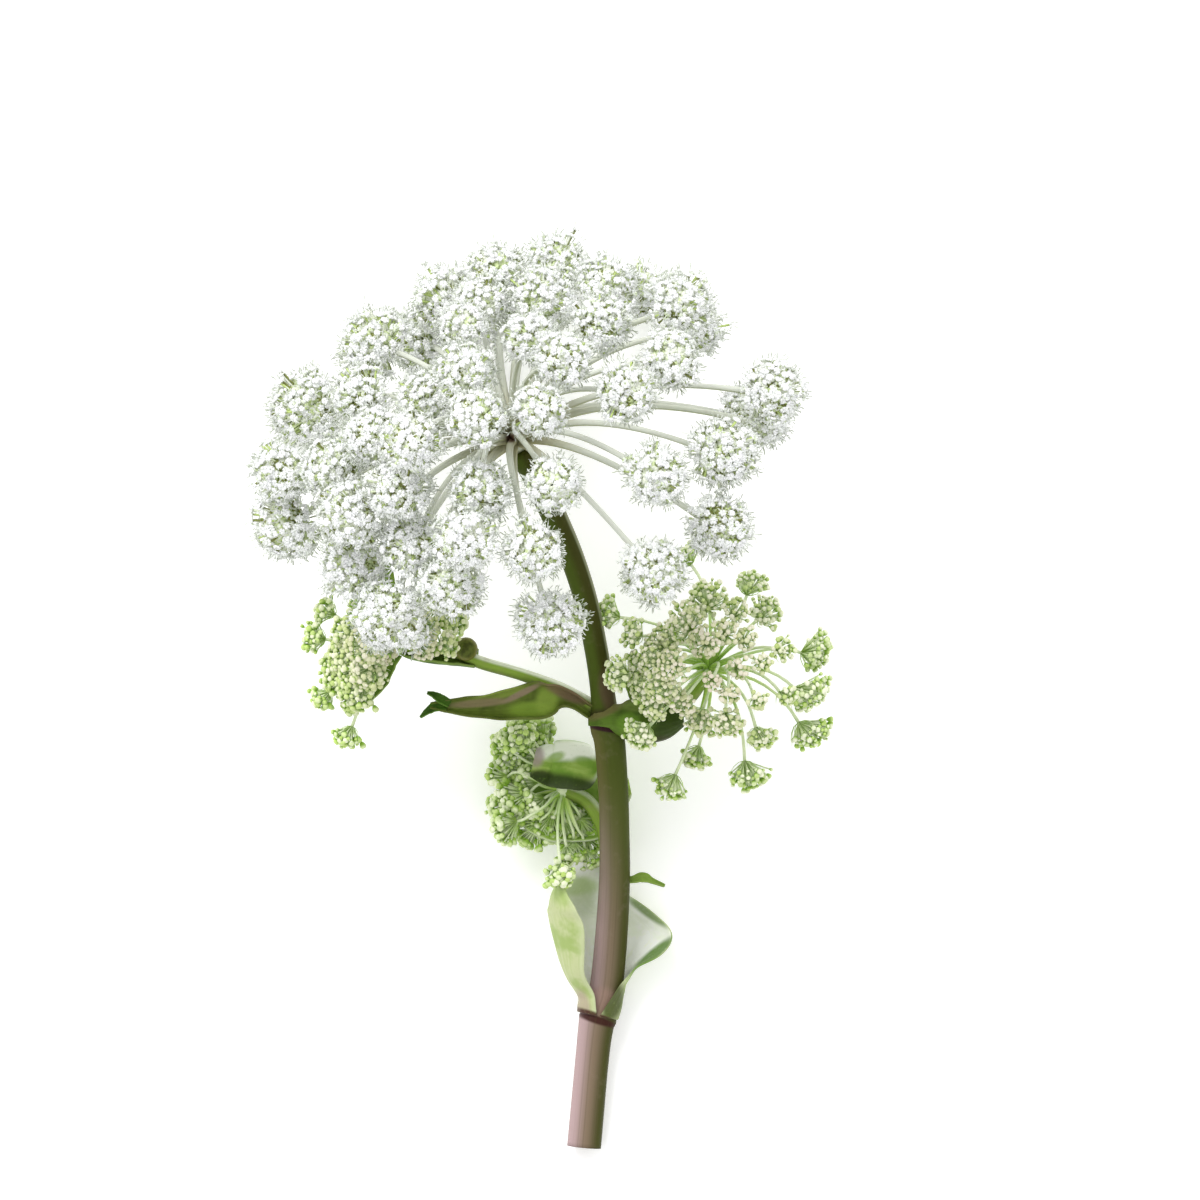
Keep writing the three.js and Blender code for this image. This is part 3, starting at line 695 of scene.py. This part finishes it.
def buildStem():
    stalk = modelStalk(stemStyle["sides"], stemStyle["rings"], stemStyle["groove"])
    line = evenLine([(*place(x, y, z), d / 2) for x, y, z, d in stemRows], stemStyle["rings"] + 1)
    for y, half, height in stemStyle["nodes"]:
        away = (line[:, 1] - place(0, y, 0)[1]) / (half * picture["mmPerPx"])
        line[:, 3] *= 1 + height * np.exp(-away ** 2)
    bunch = Bunch("across", "deep")
    addStalk(bunch, stalk, line[:, :3], line[:, 3])
    handIn(bunch.build("stem", [paintStem()]), "stem", "main_stem")


buildWhiteUmbel()
print("white umbel grown")
buildStem()
print("stem grown")


# Side shoots in bud: stalk rows are [x px, y px, height, radius], heads [x px, y px, radius px,
# how far forward], and filling, the heads that close the gaps, [x px, y px, radius px, height].
rightShoot = {
    "stalk": [[618, 716, 32, 2.0], [650, 711, 31, 2.3], [684, 700, 30.5, 2.3], [706, 672, 30, 2.2]],
    "rayLength": 32, "rayRadius": 0.58, "hubRadius": 2.6, "arch": 0.28, "seed": 300,
    "blush": 0.8, "swell": 1.0, "paleness": 1.0,
    "filling": [[642, 686, 14, 44], [658, 645, 12, 46], [640, 664, 12, 44]],
    "heads": [
        [752, 585, 15, 0.2], [765, 613, 15, 0.5], [708, 600, 18, 0.7], [690, 556, 12, -0.8],
        [736, 612, 12, 0.9], [689, 624, 18, 0.9], [706, 641, 14, 0.95], [727, 632, 11, 0.9],
        [746, 639, 10, 0.9], [611, 612, 14, 0.8], [635, 632, 13, 0.7], [619, 674, 15, 0.8],
        [671, 639, 15, 0.6], [654, 661, 15, 0.7], [673, 663, 14, 0.9], [664, 684, 17, 0.8],
        [683, 700, 13, 0.7], [655, 705, 15, 0.9], [642, 733, 16, 0.8], [702, 718, 16, 0.6],
        [712, 680, 8, 0.95], [738, 668, 9, 0.9], [729, 693, 9, 0.9], [728, 720, 15, 0.6],
        [698, 756, 14, -0.2], [672, 786, 16, 0.3], [750, 773, 18, 0.3], [762, 735, 14, 0.5],
        [757, 700, 9, 0.9], [811, 729, 19, 0.3], [808, 691, 19, 0.4], [786, 694, 10, 0.7],
        [814, 650, 18, 0.3], [782, 648, 11, 0.8], [761, 662, 9, 0.9],
    ],
}
leftShoot = {
    "stalk": [
        [594, 707, 33.5, 1.9], [580, 699, 33.2, 1.9], [556, 687, 32.8, 1.85], [520, 674, 33, 1.7],
        [482, 663, 32.4, 1.75], [462, 655, 31.8, 1.6], [436, 649, 31, 1.5], [398, 648, 30, 1.6],
    ],
    "rayLength": 26, "rayRadius": 0.6, "hubRadius": 2.0, "arch": 0.12, "seed": 400,
    "blush": 0.8, "swell": 1.1, "paleness": 0.68,
    "filling": [
        [333, 664, 11, 36], [352, 674, 12, 44], [340, 648, 11, 38], [384, 652, 11, 40], [351, 706, 9, 32],
    ],
    "heads": [
        [327, 611, 12, 0.2], [315, 638, 14, 0.4], [347, 629, 13, 0.6], [366, 645, 17, 0.8],
        [346, 657, 16, 0.5], [368, 670, 17, 0.8], [337, 680, 15, 0.4], [357, 692, 17, 0.7],
        [323, 697, 12, 0], [347, 735, 13.5, 0.3], [429, 622, 14, 0.7], [452, 620, 15, 0.5],
        [424, 647, 12, 0.9], [445, 643, 12, 0.9], [364, 607, 13, -0.4],
    ],
}
backShoot = {
    "stalk": [
        [604, 984, 2.8, 1.3], [607, 930, 5.0, 1.9], [608, 880, 9.4, 2.0], [604, 832, 12.0, 2.0],
        [588, 802, 11.5, 2.0], [564, 790, 11, 1.9],
    ],
    "rayLength": 28, "rayRadius": 0.55, "hubRadius": 2.2, "arch": 0.1, "seed": 500,
    "blush": 0.0, "swell": 1.3, "paleness": 0.72,
    "filling": [
        [536, 752, 15, 8], [530, 778, 14, 9], [534, 803, 15, 12], [519, 812, 13, 13], [548, 824, 13, 10],
        [566, 832, 12, 8.5], [584, 826, 12, 8], [552, 806, 10, 9], [572, 811, 10, 7.5], [499, 806, 11, 9],
        [499, 775, 12, 10], [546, 738, 13, 7], [502, 745, 11, 9], [523, 724, 11, 8], [590, 843, 10, 9],
        [575, 848, 11, 11],
    ],
    "heads": [
        [520, 738, 19, 0], [512, 765, 17, 0], [516, 794, 18, 0], [508, 828, 16, 0.1], [533, 832, 16, 0.1],
        [560, 873, 14, 0.95], [588, 858, 12, 0], [567, 856, 12, 0.1], [540, 726, 12, 0.1],
    ],
}
budStyle = {
    "lowest": 0.0, "spacing": 1.3, "fewest": 7, "shell": 0.94, "tipShare": 0.75, "fuller": 0.12,
    "lumps": 0.2, "lumpsAround": 4.0, "uneven": 0.035, "flat": [1.06, 1.06, 0.82], "scatter": 0.11,
    "budRadius": 0.72, "budSizes": (0.6, 1.3), "stalkRadii": [0.17, 0.26], "blushFade": 1.5,
    "rayTaper": [1.1, 0.8, 0.7, 0.8], "stalkSteps": 41,
    "bracts": 7, "bractRadii": [0.12, 0.12, 0.03], "bractPaleness": 0.4,
    "bractLine": [(0, 0, 0), (0.45, 0, 0.1), (0.8, 0, 0.5)], "bractTips": (0.8, 1.25),
}


def headsAround(centre, rayLength, rows):  # heads whose depth follows from the length of their rays
    heads = []
    for x, y, radiusPx, forward in rows:
        spot, radius = place(x, y, 0), radiusPx * picture["mmPerPx"]
        rise = math.sqrt(max(0, rayLength ** 2 - math.dist(spot[:2], centre[:2]) ** 2))
        spot[2] = max(radius, centre[2] + forward * rise)
        heads.append({"centre": spot, "radius": radius})
    return heads


def settle(heads):  # heads that would touch are moved apart in height, as in the source
    for _ in range(contact["rounds"]):
        for i, a in enumerate(heads):
            for b in heads[i + 1:]:
                room = (a["radius"] + b["radius"]) * contact["room"] + contact["gap"]
                flat = math.dist(a["centre"][:2], b["centre"][:2])
                apart = abs(a["centre"][2] - b["centre"][2])
                if math.hypot(flat, apart) >= room:
                    continue
                push = (math.sqrt(room * room - flat * flat) - apart) * contact["push"]
                low, high = (a, b) if a["centre"][2] < b["centre"][2] else (b, a)
                low["centre"][2] = max(low["radius"], low["centre"][2] - push)
                high["centre"][2] += push


def growBuds(bunch, tip, outward, head, near, shoot, dice):  # a dome of buds on a fan of pedicels
    style = budStyle
    size = head["radius"] * (1 + style["fuller"] * near)
    area = 2 * math.pi * (size * style["shell"]) ** 2 * (1 - style["lowest"])
    count = max(style["fewest"], round(area / style["spacing"] ** 2))
    phase = np.array([dice.uniform(0, 2 * math.pi) for _ in range(3)])
    for direction in spread(count, style["lowest"]) * np.array(style["flat"]) @ turnTo(outward):
        direction = direction + jitter(dice, style["scatter"])
        spot = head["centre"] + direction * size * style["shell"] * lumpy(direction, phase, style, dice)
        facing = unit(spot - tip)
        scale = style["budRadius"] * shoot["swell"] * dice.uniform(*style["budSizes"])
        chance = dice.random() * shoot["paleness"]
        turned = around(bud["points"], dice.uniform(0, turnRange)) @ turnTo(facing) * scale + spot
        bunch.add(bud, turned, 0, chance=chance, blush=shoot["blush"] * near ** style["blushFade"])
        addStalk(bunch, pedicel, np.array([tip, spot]), style["stalkRadii"], 1, chance=chance)
    for k in range(style["bracts"]):
        turn = 2 * math.pi * (k + dice.random()) / style["bracts"]
        rows = [*style["bractLine"], (1.0, 0, dice.uniform(*style["bractTips"]))]
        bract = around(np.array(rows) * size, turn) @ turnTo(outward) + tip
        addStalk(bunch, thread, bract, style["bractRadii"], 1, chance=style["bractPaleness"])


def buildShoot(name, node, shoot, paints):
    line = evenLine([(*place(x, y, z), r) for x, y, z, r in shoot["stalk"]], budStyle["stalkSteps"])
    hub = line[-1, :3]
    heads = headsAround(hub, shoot["rayLength"], shoot["heads"])
    settle(heads)
    for x, y, radiusPx, z in shoot["filling"]:
        heads.append({"centre": place(x, y, z), "radius": radiusPx * picture["mmPerPx"]})
    axis = unit(hub - place(*shoot["stalk"][-2][:3]))
    bunch = Bunch("chance", "blush", "across", "deep")
    addStalk(bunch, ribbedStalk, line[:, :3], line[:, 3], 2, chance=0.5)
    bunch.add(swelling, swelling["points"] * shoot["hubRadius"] + hub, 1, chance=0.2)
    reach = max(np.linalg.norm(head["centre"] - hub) for head in heads)
    for k, head in enumerate(heads):
        dice = random.Random(shoot["seed"] + k)
        others = heads[:k] + heads[k + 1:]
        ray = rayLine(hub, axis, head, others, shoot["rayRadius"], shoot["arch"], budStyle["tipShare"])
        radii = np.array(budStyle["rayTaper"]) * shoot["rayRadius"]
        addStalk(bunch, thinRay, ray, radii, 1, chance=dice.random())
        near = 1 - np.linalg.norm((head["centre"] - hub)[:2]) / reach
        growBuds(bunch, ray[-1], unit(ray[-1] - ray[-4]), head, near, shoot, dice)
    handIn(bunch.build(name, paints), "buds", node)


def paintBuds():
    paint = Paint("budSkin", roughness=0.42)
    green = paint.mix(paint.mark("chance"), tone(134, 176, 56), tone(172, 204, 96))
    cap = paint.over(tone(188, 214, 118), tone(242, 246, 218), paint.mark("chance"), 0.0, 0.8)
    pink = paint.mix(paint.mark("blush"), cap, tone(222, 204, 194))
    body = paint.over(green, pink, paint.mark("along"), 0.25, 0.75)
    # Painted shade: buds are darker on their undersides.
    under = paint.over(body, tone(112, 158, 46), paint.facing(2), 0.0, -0.8, 0.4)
    base = paint.over(under, tone(120, 150, 66), paint.spots(900.0), 0.5, 0.7, 0.2)
    return paint.finish(base, paint.spots(3200.0), 0.25, 0.1)


def paintShootGreen():
    paint = Paint("shootGreen", roughness=0.45)
    green = paint.mix(paint.mark("chance"), tone(148, 190, 70), tone(188, 212, 118))
    pale = paint.over(green, tone(222, 232, 194), paint.mark("along"), 0.2, 0.9)
    # Painted light on the side facing +Y, toward the sun, and painted shade on the side facing -Y.
    lit = paint.over(pale, tone(238, 242, 222), paint.facing(1), 0.0, 0.9, 0.6)
    under = paint.over(lit, tone(124, 164, 60), paint.facing(1), -0.2, -0.9, 0.5)
    lined = paint.over(under, tone(124, 150, 70), paint.grain(4.0, 3.0), 0.5, 0.7, 0.3)
    base = paint.over(lined, tone(96, 122, 50), paint.spots(400.0), 0.5, 0.75, 0.2)
    # The shoots' green glows a little: painted light that lifts its shade.
    return paint.finish(base, paint.spots(2400.0), 0.25, 0.1, glow=0.06)


def paintShootStalk():
    paint = Paint("shootStalk", roughness=0.42)
    # Painted light on the side facing +Y, toward the sun, and painted shade on the side facing -Y.
    lit = paint.over(tone(134, 162, 64), tone(230, 236, 214), paint.facing(1), 0.15, 0.75)
    under = paint.over(lit, tone(102, 122, 46), paint.facing(1), -0.2, -0.85)
    lined = paint.over(under, tone(100, 122, 54), paint.grain(6.0, 3.0), 0.5, 0.68, 0.3)
    base = paint.over(lined, tone(150, 128, 110), paint.spots(300.0), 0.5, 0.75, 0.25)
    return paint.finish(base, paint.grain(9.0, 4.0), 0.25, 0.15)


shootPaints = [paintBuds(), paintShootGreen(), paintShootStalk()]
buildShoot("rightBuds", "right_shoot", rightShoot, shootPaints)
buildShoot("leftBuds", "left_shoot", leftShoot, shootPaints)
buildShoot("backBuds", "back_shoot", backShoot, shootPaints)
print("side shoots grown")


# Sheaths and leaves: gutters along [x px, y px, height, half width, depth, wrap in degrees to either side].
# Where the wraps stay the same all along, "wraps" gives them once.
lowerSheath = {
    "opens": (0, 0, 1), "across": 38, "steps": 52, "wave": 0.4, "ridge": 0.1, "veins": 13, "reach": 0.14,
    "stations": [
        [597.5, 1016, 7.4, 5.35, 5.5, 178, 174], [599.5, 1007, 7.9, 5.7, 5.9, 171, 164],
        [601, 995, 8.6, 6.0, 6.6, 163, 146], [597.5, 979, 9.8, 8.0, 8.3, 158, 116],
        [598.5, 961, 11.3, 11.0, 10.6, 160, 92], [605, 941, 13.0, 15.0, 12.8, 158, 84],
        [610.5, 925, 14.0, 17.2, 13.8, 152, 80], [611.5, 911, 15.4, 16.8, 14.2, 146, 46],
        [611.5, 896, 17.0, 16.3, 13.9, 135, 17], [610.5, 884, 18.4, 14.8, 13.0, 124, 6],
        [610, 872, 19.6, 12.4, 12.0, 112, 2], [610, 861, 20.8, 9.8, 11.4, 100, 2],
    ],
}
boatLeaf = {
    "opens": (0, 0.25, 1), "across": 22, "steps": 50, "wave": 0.3, "ridge": 0.07, "veins": 9,
    "stations": [
        [592, 713, 36.0, 1.6, 2.0, 100, 100], [574, 701, 37.0, 1.9, 2.4, 100, 100],
        [558, 697, 38.0, 3.0, 3.0, 98, 98], [542, 700, 38.7, 5.0, 3.4, 95, 95],
        [508, 704, 38.3, 4.0, 3.4, 95, 90], [476, 706.5, 37.3, 2.9, 2.8, 90, 85],
        [448, 705.5, 36.4, 1.7, 1.8, 85, 85], [430, 705, 35.8, 0.8, 1.0, 70, 70],
    ],
}
pouch = {
    "opens": (0, 0.6, -0.8), "across": 30, "steps": 38, "wave": 0.25, "ridge": 0.08, "veins": 10,
    "stations": [
        [588, 714, 34.5, 0.3, 5.0, 60, 60], [601, 712, 34.6, 1.7, 5.6, 70, 80],
        [611, 712, 34.6, 2.8, 5.8, 75, 85], [622, 716, 34.5, 4.7, 5.8, 80, 95],
        [641, 720, 34.5, 6.3, 5.9, 90, 105], [657, 720, 34.2, 5.7, 5.6, 90, 105],
        [671, 718, 33.8, 4.7, 4.8, 85, 100], [684, 716, 33.4, 2.2, 2.6, 75, 85],
    ],
}
leftSheath = {
    "opens": (0, 0.3, 1), "across": 22, "steps": 34, "wave": 0.2, "ridge": 0.06, "veins": 8,
    "stations": [
        [477, 658, 33.0, 2.4, 3.4, 95, 95], [458, 654, 32.6, 2.9, 3.8, 100, 80],
        [434, 651, 32.0, 3.1, 4.2, 100, 60], [412, 648, 31.4, 2.7, 4.0, 95, 50],
        [401, 646, 31.0, 1.8, 3.2, 80, 45],
    ],
}
backSheath = {
    "opens": (0, 0, 1), "across": 36, "steps": 44, "wave": 0.35, "ridge": 0.09, "veins": 12,
    "stations": [
        [630, 787, 14.0, 2.0, 2.6, 80, 80], [614, 790, 12.6, 8.0, 6.0, 88, 120],
        [592, 793, 12.0, 12.4, 7.6, 92, 172], [566, 791, 12.0, 13.6, 7.8, 94, 178],
        [548, 790, 12.0, 12.8, 7.4, 90, 176], [536, 786, 12.2, 11.6, 6.8, 60, 174],
        [528, 784, 12.5, 9.4, 6.0, 30, 168],
    ],
}
smallLeaf = {"across": 10, "steps": 24, "wave": 0.1, "ridge": 0.05, "veins": 4, "wraps": [60, 60]}
leafTip = {
    **smallLeaf, "opens": (0, 0.5, 1),
    "stations": [
        [622, 879, 17.6, 1.0, 1.0], [634, 878, 17.3, 1.2, 1.0], [643, 876, 17.1, 1.7, 1.0],
        [653, 880, 17.0, 0.9, 0.8], [665, 885, 16.8, 0.5, 0.6],
    ],
}
rightLobe = {
    **smallLeaf, "opens": (0, 0, 1), "wave": 0.15,
    "stations": [
        [646, 712, 30.5, 2.0, 1.6], [640, 697, 29.4, 3.2, 1.6],
        [635, 682, 28.6, 3.0, 1.4], [632, 669, 28, 1.2, 0.8],
    ],
}
boatTip = {**smallLeaf, "opens": (0, 0.4, 1), "across": 8, "steps": 18, "ridge": 0.04, "veins": 3}
upperTip = {
    **boatTip,
    "stations": [
        [450, 703, 36.6, 1.3, 1.0], [441, 698, 36.4, 1.5, 1.0],
        [434, 694, 36.0, 1.0, 0.7], [427, 692, 35.6, 0.4, 0.4],
    ],
}
lowerTip = {
    **boatTip,
    "stations": [
        [447, 705, 36.2, 1.4, 1.0], [437, 705, 36.0, 1.7, 1.0],
        [428, 710, 35.6, 1.1, 0.7], [420, 717, 35.2, 0.3, 0.4],
    ],
}
leftBract = {
    **smallLeaf, "opens": (0.4, 0, 1), "steps": 34,
    "stations": [
        [400, 650, 30.0, 1.4, 1.4], [396, 622, 34.0, 1.9, 1.4], [391, 590, 37.5, 2.1, 1.4],
        [388, 566, 39.5, 1.8, 1.2], [386, 548, 40.5, 0.7, 0.6],
    ],
}
leftLobe = {
    **smallLeaf, "opens": (0.2, 0.3, 1), "across": 12, "steps": 26, "wave": 0.15, "veins": 5, "wraps": [],
    "stations": [
        [398, 651, 30.0, 1.6, 1.8, 80, 60], [386, 663, 29.0, 2.8, 2.4, 80, 60],
        [377, 681, 28.6, 2.8, 2.4, 80, 60], [367, 699, 28.6, 1.2, 1.4, 70, 60],
    ],
}
sheathStyle = {
    "thickness": 0.62, "lowest": 0.8,  # the lowest that the middle of a wall lies, in wall thicknesses
    "waves": (23, 41), "slant": 9, "secondWave": 0.6, "reach": 0.004,
}


def modelSheath(name, sheath, paints):  # inner face 0, outer face and rim 1
    startFresh()
    across, along = sheath["across"], sheath["steps"]
    bpy.ops.mesh.primitive_grid_add(x_subdivisions=across, y_subdivisions=along, size=1.0)
    piece = bpy.context.object
    piece.name = name
    flat = pointsOf(piece)
    u, v = flat[:, 0] + 0.5, flat[:, 1] + 0.5
    rows = [(*place(*row[:3]), *row[3:], *sheath.get("wraps", [])) for row in sheath["stations"]]
    values = alongCurve(rows, v)
    step = sheath.get("reach", sheathStyle["reach"])
    tangents = unit(alongCurve(rows, v + step)[:, :3] - alongCurve(rows, v - step)[:, :3])
    opens = unit(np.array(sheath["opens"], float))
    sides = unit(np.cross(tangents, opens))
    angle = np.radians((1 - u) * -values[:, 5] + u * values[:, 6])
    rim = np.abs(2 * u - 1) ** 4
    first, second = sheathStyle["waves"]
    waves = np.sin(v * first + sheathStyle["slant"] * u) + sheathStyle["secondWave"] * np.sin(v * second + 2)
    ripple = rim * sheath["wave"] * waves * np.sin(v * math.pi)
    ridge = sheath["ridge"] * np.cos(u * sheath["veins"] * 2 * math.pi)
    aside = (values[:, 3] + ripple + ridge) * np.sin(angle)
    down = (values[:, 4] + ripple + ridge) * np.cos(angle)
    points = values[:, :3] + sides * aside[:, None] - opens * down[:, None]
    points[:, 2] = np.maximum(points[:, 2], sheathStyle["thickness"] * sheathStyle["lowest"])
    piece.data.vertices.foreach_set("co", (points * metresPerMm).ravel())
    shell = piece.modifiers.new("shell", "SOLIDIFY")
    shell.thickness = sheathStyle["thickness"] * metresPerMm
    shell.offset = 0
    shell.material_offset = 1
    shell.material_offset_rim = 1
    soft = piece.modifiers.new("soft", "SUBSURF")
    soft.levels = soft.render_levels = 1
    for paint in paints:
        piece.data.materials.append(paint.material)
    for modifier in ("shell", "soft"):
        bpy.ops.object.modifier_apply(modifier=modifier)
    markFacing(piece.data)
    piece.data.shade_smooth()
    return piece


def paintLeaf(name, light, dark, edge, rows=(), glow=0.0):
    paint = Paint(name, roughness=0.45)
    body = paint.over(light, dark, paint.spots(140.0), 0.4, 0.65)
    lined = paint.over(body, dark, paint.veins(34.0, 2.0), 0.48, 0.62, 0.35)
    edged = paint.mix(paint.edges(0.1) * 0.7, lined, edge)
    tinted = paint.tints(edged, rows)
    base = paint.over(tinted, dark, paint.spots(1200.0), 0.55, 0.75, 0.2)
    return paint.finish(base, paint.veins(60.0, 3.0), 0.35, 0.25, glow)


leafInner = paintLeaf("leafInner", tone(122, 150, 62), tone(88, 116, 40), tone(150, 168, 100))
leafOuter = paintLeaf("leafOuter", tone(104, 136, 46), tone(72, 100, 28), tone(138, 160, 84))
tipPaint = paintLeaf("tipGreen", tone(66, 100, 28), tone(44, 72, 18), tone(96, 130, 50))
# sheathInner glows a little: painted light that lifts the shade inside the sheath.
paleInner = paintLeaf("sheathInner", tone(250, 251, 248), tone(236, 240, 226), tone(238, 241, 226), [
    [583, 1006, 9, 22, 10, tone(176, 146, 150), 0.6], [575, 886, 26, 10, 0, tone(178, 206, 124), 0.6],
    [580, 896, 18, 24, 0, tone(150, 174, 104), 0.45], [649, 912, 30, 6, -35, tone(112, 140, 66), 0.85],
    [653, 955, 32, 6, 40, tone(84, 122, 26), 0.92],
], glow=0.1)
backInner = paintLeaf("backInner", tone(182, 208, 116), tone(140, 176, 72), tone(206, 222, 160))
paleOuter = paintLeaf("sheathOuter", tone(182, 190, 142), tone(152, 172, 102), tone(190, 198, 158), [
    [582, 1007, 9, 19, 10, tone(158, 132, 126), 0.6], [560, 890, 14, 16, 0, tone(168, 190, 114), 0.5],
    [652, 954, 36, 7, 41, tone(88, 128, 40), 0.85], [613, 1002, 12, 24, -14, tone(62, 72, 26), 0.9],
    [597, 1016.5, 28, 4, -20, tone(66, 34, 28), 0.95],
])
# The rows at (672, 728) and (650, 741) darken the pouch's right end and lower edge: painted shade on its
# underside.
pouchPaint = paintLeaf("pouchOuter", tone(88, 116, 38), tone(70, 92, 28), tone(100, 118, 56), [
    [607, 709, 26, 7, 25, tone(112, 104, 64), 0.85], [640, 706, 22, 6, 0, tone(116, 134, 66), 0.8],
    [628, 722, 12, 10, 20, tone(104, 140, 44), 0.8], [672, 728, 22, 18, 40, tone(50, 66, 20), 0.9],
    [650, 741, 30, 5, 5, tone(54, 56, 26), 0.8],
])
boatPaint = paintLeaf("boatOuter", tone(98, 116, 42), tone(74, 88, 30), tone(88, 96, 46), [
    [530, 709, 24, 8, 4, tone(128, 156, 56), 0.8], [547, 700, 12, 16, -20, tone(138, 162, 66), 0.75],
    [500, 694, 34, 5, 14, tone(142, 162, 74), 0.7], [480, 703, 34, 4.5, 5, tone(142, 128, 96), 0.85],
    [522, 693, 22, 3.5, 26, tone(152, 132, 112), 0.85], [510, 686, 40, 2.5, 15, tone(66, 76, 28), 0.8],
    [566, 693, 28, 7, -24, tone(122, 100, 78), 0.8],
])
# The first row is partly the hood's own pale colour, partly painted light on its rolled top; the rows at
# (540, 778) and (562, 785) are painted shade under the roll.
backPaint = paintLeaf("backOuter", tone(158, 184, 92), tone(112, 148, 52), tone(206, 214, 186), [
    [568, 750, 50, 11, 0, tone(248, 251, 240), 0.95], [556, 757, 10, 5, 20, tone(140, 172, 80), 0.8],
    [585, 762, 12, 6, -15, tone(120, 156, 58), 0.8], [536, 756, 9, 12, 0, tone(170, 142, 156), 0.7],
    [540, 778, 14, 9, 0, tone(62, 66, 30), 0.9], [562, 785, 60, 12, -8, tone(44, 60, 18), 0.95],
    [560, 828, 30, 6, 0, tone(96, 126, 48), 0.5],
])
handIn(modelSheath("lowerSheath", lowerSheath, [paleInner, paleOuter]), "pale_sheath", "lower_sheath")
handIn(modelSheath("boatLeaf", boatLeaf, [boatPaint, boatPaint]), "leaf", "boat_leaf")
handIn(modelSheath("pouchLeaf", pouch, [leafInner, pouchPaint]), "leaf", "pouch")
handIn(modelSheath("leftSheath", leftSheath, [leafInner, leafOuter]), "leaf", "left_sheath")
handIn(modelSheath("backSheath", backSheath, [backInner, backPaint]), "leaf", "back_sheath")
handIn(modelSheath("leafTip", leafTip, [leafInner, leafOuter]), "leaf", "leaf_tip")
for name, sheath in (("rightLobe", rightLobe), ("leftBract", leftBract), ("leftLobe", leftLobe)):
    handIn(modelSheath(name, sheath, [leafInner, leafOuter]), "leaf")
for name, sheath in (("upperTip", upperTip), ("lowerTip", lowerTip)):
    handIn(modelSheath(name, sheath, [tipPaint, tipPaint]), "leaf")

knob = {"px": (466, 649), "height": 34.0, "radius": 3.2}


def buildKnob():
    paint = Paint("knobSkin", roughness=0.4)
    dark = paint.over(tone(90, 100, 40), tone(66, 72, 28), paint.spots(500.0), 0.4, 0.65)
    base = paint.over(dark, tone(116, 114, 54), paint.facing(2), 0.9, 0.4, 0.8)
    paint.finish(base, paint.spots(1500.0), 0.4, 0.2)
    bunch = Bunch()
    bunch.add(swelling, swelling["points"] * knob["radius"] + place(*knob["px"], knob["height"]), 0)
    handIn(bunch.build("knob", [paint]), "leaf")


buildKnob()
print("leaves grown")

studio = {
    "floorSize": 4.0, "floorDrop": 0.0002, "cameraHeight": 900, "clipEnd": 10.0,
    "worldLight": 1.0, "sunLight": 2.0, "sunAngle": 30, "sunTurn": (-38, -24, 0),  # degrees
}


def setStage():
    startFresh()
    bpy.ops.mesh.primitive_plane_add(size=studio["floorSize"], location=(0, 0, -studio["floorDrop"]))
    floor = bpy.context.object
    floor.name = "floor"
    paint = Paint("floorPale", roughness=0.9, specular=0.1)
    base = paint.over(tone(250, 250, 250), tone(247, 247, 248), paint.spots(6.0), 0.3, 0.7, 0.3)
    paint.finish(base, paint.spots(40.0), 0.02, 0.1, glow=0.26)
    floor.data.materials.append(paint.material)
    world = bpy.data.worlds.new("studio")
    bpy.context.scene.world = world
    world.use_nodes = True
    sky = world.node_tree.nodes["Background"]
    sky.inputs["Color"].default_value = (1.0, 1.0, 1.0, 1.0)
    sky.inputs["Strength"].default_value = studio["worldLight"]
    bpy.ops.object.light_add(type="SUN", rotation=[math.radians(turn) for turn in studio["sunTurn"]])
    sun = bpy.context.object
    sun.data.energy = studio["sunLight"]
    sun.data.angle = math.radians(studio["sunAngle"])
    across = picture["sidePx"] * picture["mmPerPx"] * metresPerMm
    middle = place(*picture["middlePx"], studio["cameraHeight"]) * metresPerMm
    bpy.ops.object.camera_add(location=middle, rotation=(0, 0, 0))
    camera = bpy.context.object
    camera.data.type = "ORTHO"
    camera.data.ortho_scale = across
    camera.data.clip_end = studio["clipEnd"]
    bpy.context.scene.camera = camera
    bpy.context.scene.view_settings.view_transform = "Standard"


setStage()
pieces = [thing for thing in bpy.context.scene.objects if thing.type == "MESH" and not thing.hide_render]
print("triangles:", sum(len(face.vertices) - 2 for piece in pieces for face in piece.data.polygons))
